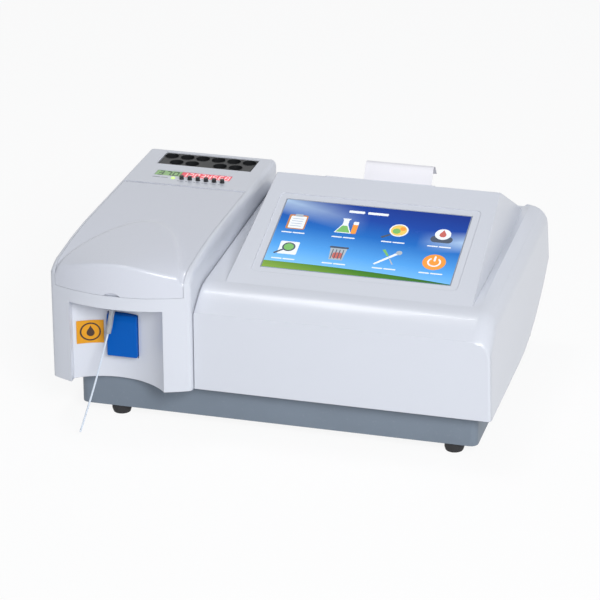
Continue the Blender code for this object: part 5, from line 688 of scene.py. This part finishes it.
def build_sticker_art():
    """A plain drop in a ring, wrapped on the curved sticker."""
    ink = surface("dark_ink", (0.045, 0.02, 0.01), 0.5, bump=0.02, edge=0.02, variation=0.2, patch=700)
    form = bmesh.new()
    ring_strip(form, 0, 0, 6.6, 7.8, *STICKER_INK, 36)
    drop = [(0, 5.2), (-0.9, 3.4), (-1.9, 1.9), (-2.7, 0.4)]
    turns = [math.radians(a) for a in range(170, 371, 20)]
    bowl = [(3.0 * math.cos(a), -1.0 + 3.0 * math.sin(a)) for a in turns]
    plate(form, drop + bowl + [(-x, z) for x, z in drop[:0:-1]], *STICKER_INK)
    for vert in form.verts:
        u, v, w = vert.co
        x = STICKER_X + u
        vert.co = (x, FACE_Y + math.sqrt(FACE_RADIUS**2 - (x - FACE_X) ** 2) - w, STICKER_Z + v)
    piece("sticker_art", form, ink)


def build_print_marks():
    """Plain grey dashes printed under the keys and beside the lamp, in place of words."""
    ink = surface("grey_ink", (0.20, 0.21, 0.24), 0.6, bump=0.02, edge=0.02, variation=0.2, patch=900)
    form = bmesh.new()
    for i in range(6):
        low, high = local_box(f"key_{i + 1}")
        middle = (low.x + high.x) / 2
        foot = low.y - 2.6
        for shift, length in ((-1.5, 2.0), (1.2, 2.4)):
            plate(form, rounded(middle + shift, foot, length, 0.8, 0.3), ROOF_TOP, ROOF_TOP + INK)
    low, high = local_box("status_led")
    middle = (low.y + high.y) / 2
    edge = low.x - 3.0
    for shift, length in ((3.2, 6.0), (10.2, 6.8)):
        plate(form, rounded(edge - shift, middle, length, 1.0, 0.4), ROOF_TOP, ROOF_TOP + INK)
    piece("print_marks", form, ink)


build_well_rings()
build_screws()
build_cover_grip()
build_sticker_art()
build_print_marks()


# Floor, lights and camera

def seen(tree):
    """1 for the rays that show the background: camera, glossy and transmission."""
    path = tree.nodes.new("ShaderNodeLightPath")
    first = calculate(tree, "ADD", path.outputs["Is Camera Ray"], path.outputs["Is Glossy Ray"])
    return calculate(tree, "ADD", first, path.outputs["Is Transmission Ray"], True)


def build_floor():
    form = bmesh.new()
    plate(form, [(-FLOOR_REACH, -FLOOR_REACH), (FLOOR_REACH, -FLOOR_REACH),
                 (FLOOR_REACH, FLOOR_REACH), (-FLOOR_REACH, FLOOR_REACH)], -FLOOR_THICKNESS, 0)
    mesh = bpy.data.meshes.new("floor")
    form.to_mesh(mesh)
    form.free()
    floor = bpy.data.objects.new("floor", mesh)
    bpy.context.scene.collection.objects.link(floor)
    mat = bpy.data.materials.new("floor")
    mat.use_nodes = True
    tree = mat.node_tree
    shader = tree.nodes["Principled BSDF"]
    shader.inputs["Base Color"].default_value = (FLOOR_TONE, FLOOR_TONE, FLOOR_TONE, 1)
    shader.inputs["Roughness"].default_value = FLOOR_ROUGHNESS
    white = tree.nodes.new("ShaderNodeEmission")
    mix = tree.nodes.new("ShaderNodeMixShader")
    link(tree, calculate(tree, "MULTIPLY", seen(tree), FLOOR_LIT_SHARE), mix.inputs["Fac"])
    link(tree, shader.outputs["BSDF"], mix.inputs[1])
    link(tree, white.outputs["Emission"], mix.inputs[2])
    link(tree, mix.outputs["Shader"], tree.nodes["Material Output"].inputs["Surface"])
    mesh.materials.append(mat)


def light(name, place, target, size, power):
    data = bpy.data.lights.new(name, "AREA")
    data.shape = "SQUARE"
    data.size = size
    data.energy = power
    lamp = bpy.data.objects.new(name, data)
    lamp.location = place
    lamp.rotation_euler = (Vector(place) - Vector(target)).to_track_quat("Z", "Y").to_euler()
    bpy.context.scene.collection.objects.link(lamp)


def build_world():
    """Cool light on the object, and plain white where the background shows."""
    world = bpy.data.worlds.new("studio")
    bpy.context.scene.world = world
    world.use_nodes = True
    tree = world.node_tree
    ambient = tree.nodes["Background"]
    ambient.inputs["Color"].default_value = (*AMBIENT_COLOUR, 1)
    ambient.inputs["Strength"].default_value = AMBIENT_STRENGTH
    backdrop = tree.nodes.new("ShaderNodeBackground")
    backdrop.inputs["Color"].default_value = (1, 1, 1, 1)
    choose = tree.nodes.new("ShaderNodeMixShader")
    link(tree, seen(tree), choose.inputs["Fac"])
    link(tree, ambient.outputs["Background"], choose.inputs[1])
    link(tree, backdrop.outputs["Background"], choose.inputs[2])
    link(tree, choose.outputs["Shader"], tree.nodes["World Output"].inputs["Surface"])


def build_camera():
    lens = bpy.data.cameras.new("camera")
    lens.sensor_width = SENSOR_WIDTH
    lens.lens = LENS_LENGTH
    lens.clip_end = FARTHEST_SEEN
    camera = bpy.data.objects.new("camera", lens)
    camera.location = CAMERA_PLACE
    camera.rotation_euler = (math.radians(90 - CAMERA_DOWN), 0, math.radians(CAMERA_ROUND))
    bpy.context.scene.collection.objects.link(camera)
    bpy.context.scene.camera = camera


build_floor()
light("key", (1.25, -1.92, 1.53), LIGHTS_AIM, size=1.1, power=54)
light("overhead", (-0.33, 0.26, 1.7), LIGHTS_AIM, size=0.36, power=4.5)
build_world()
build_camera()
bpy.context.scene.view_settings.view_transform = "Standard"
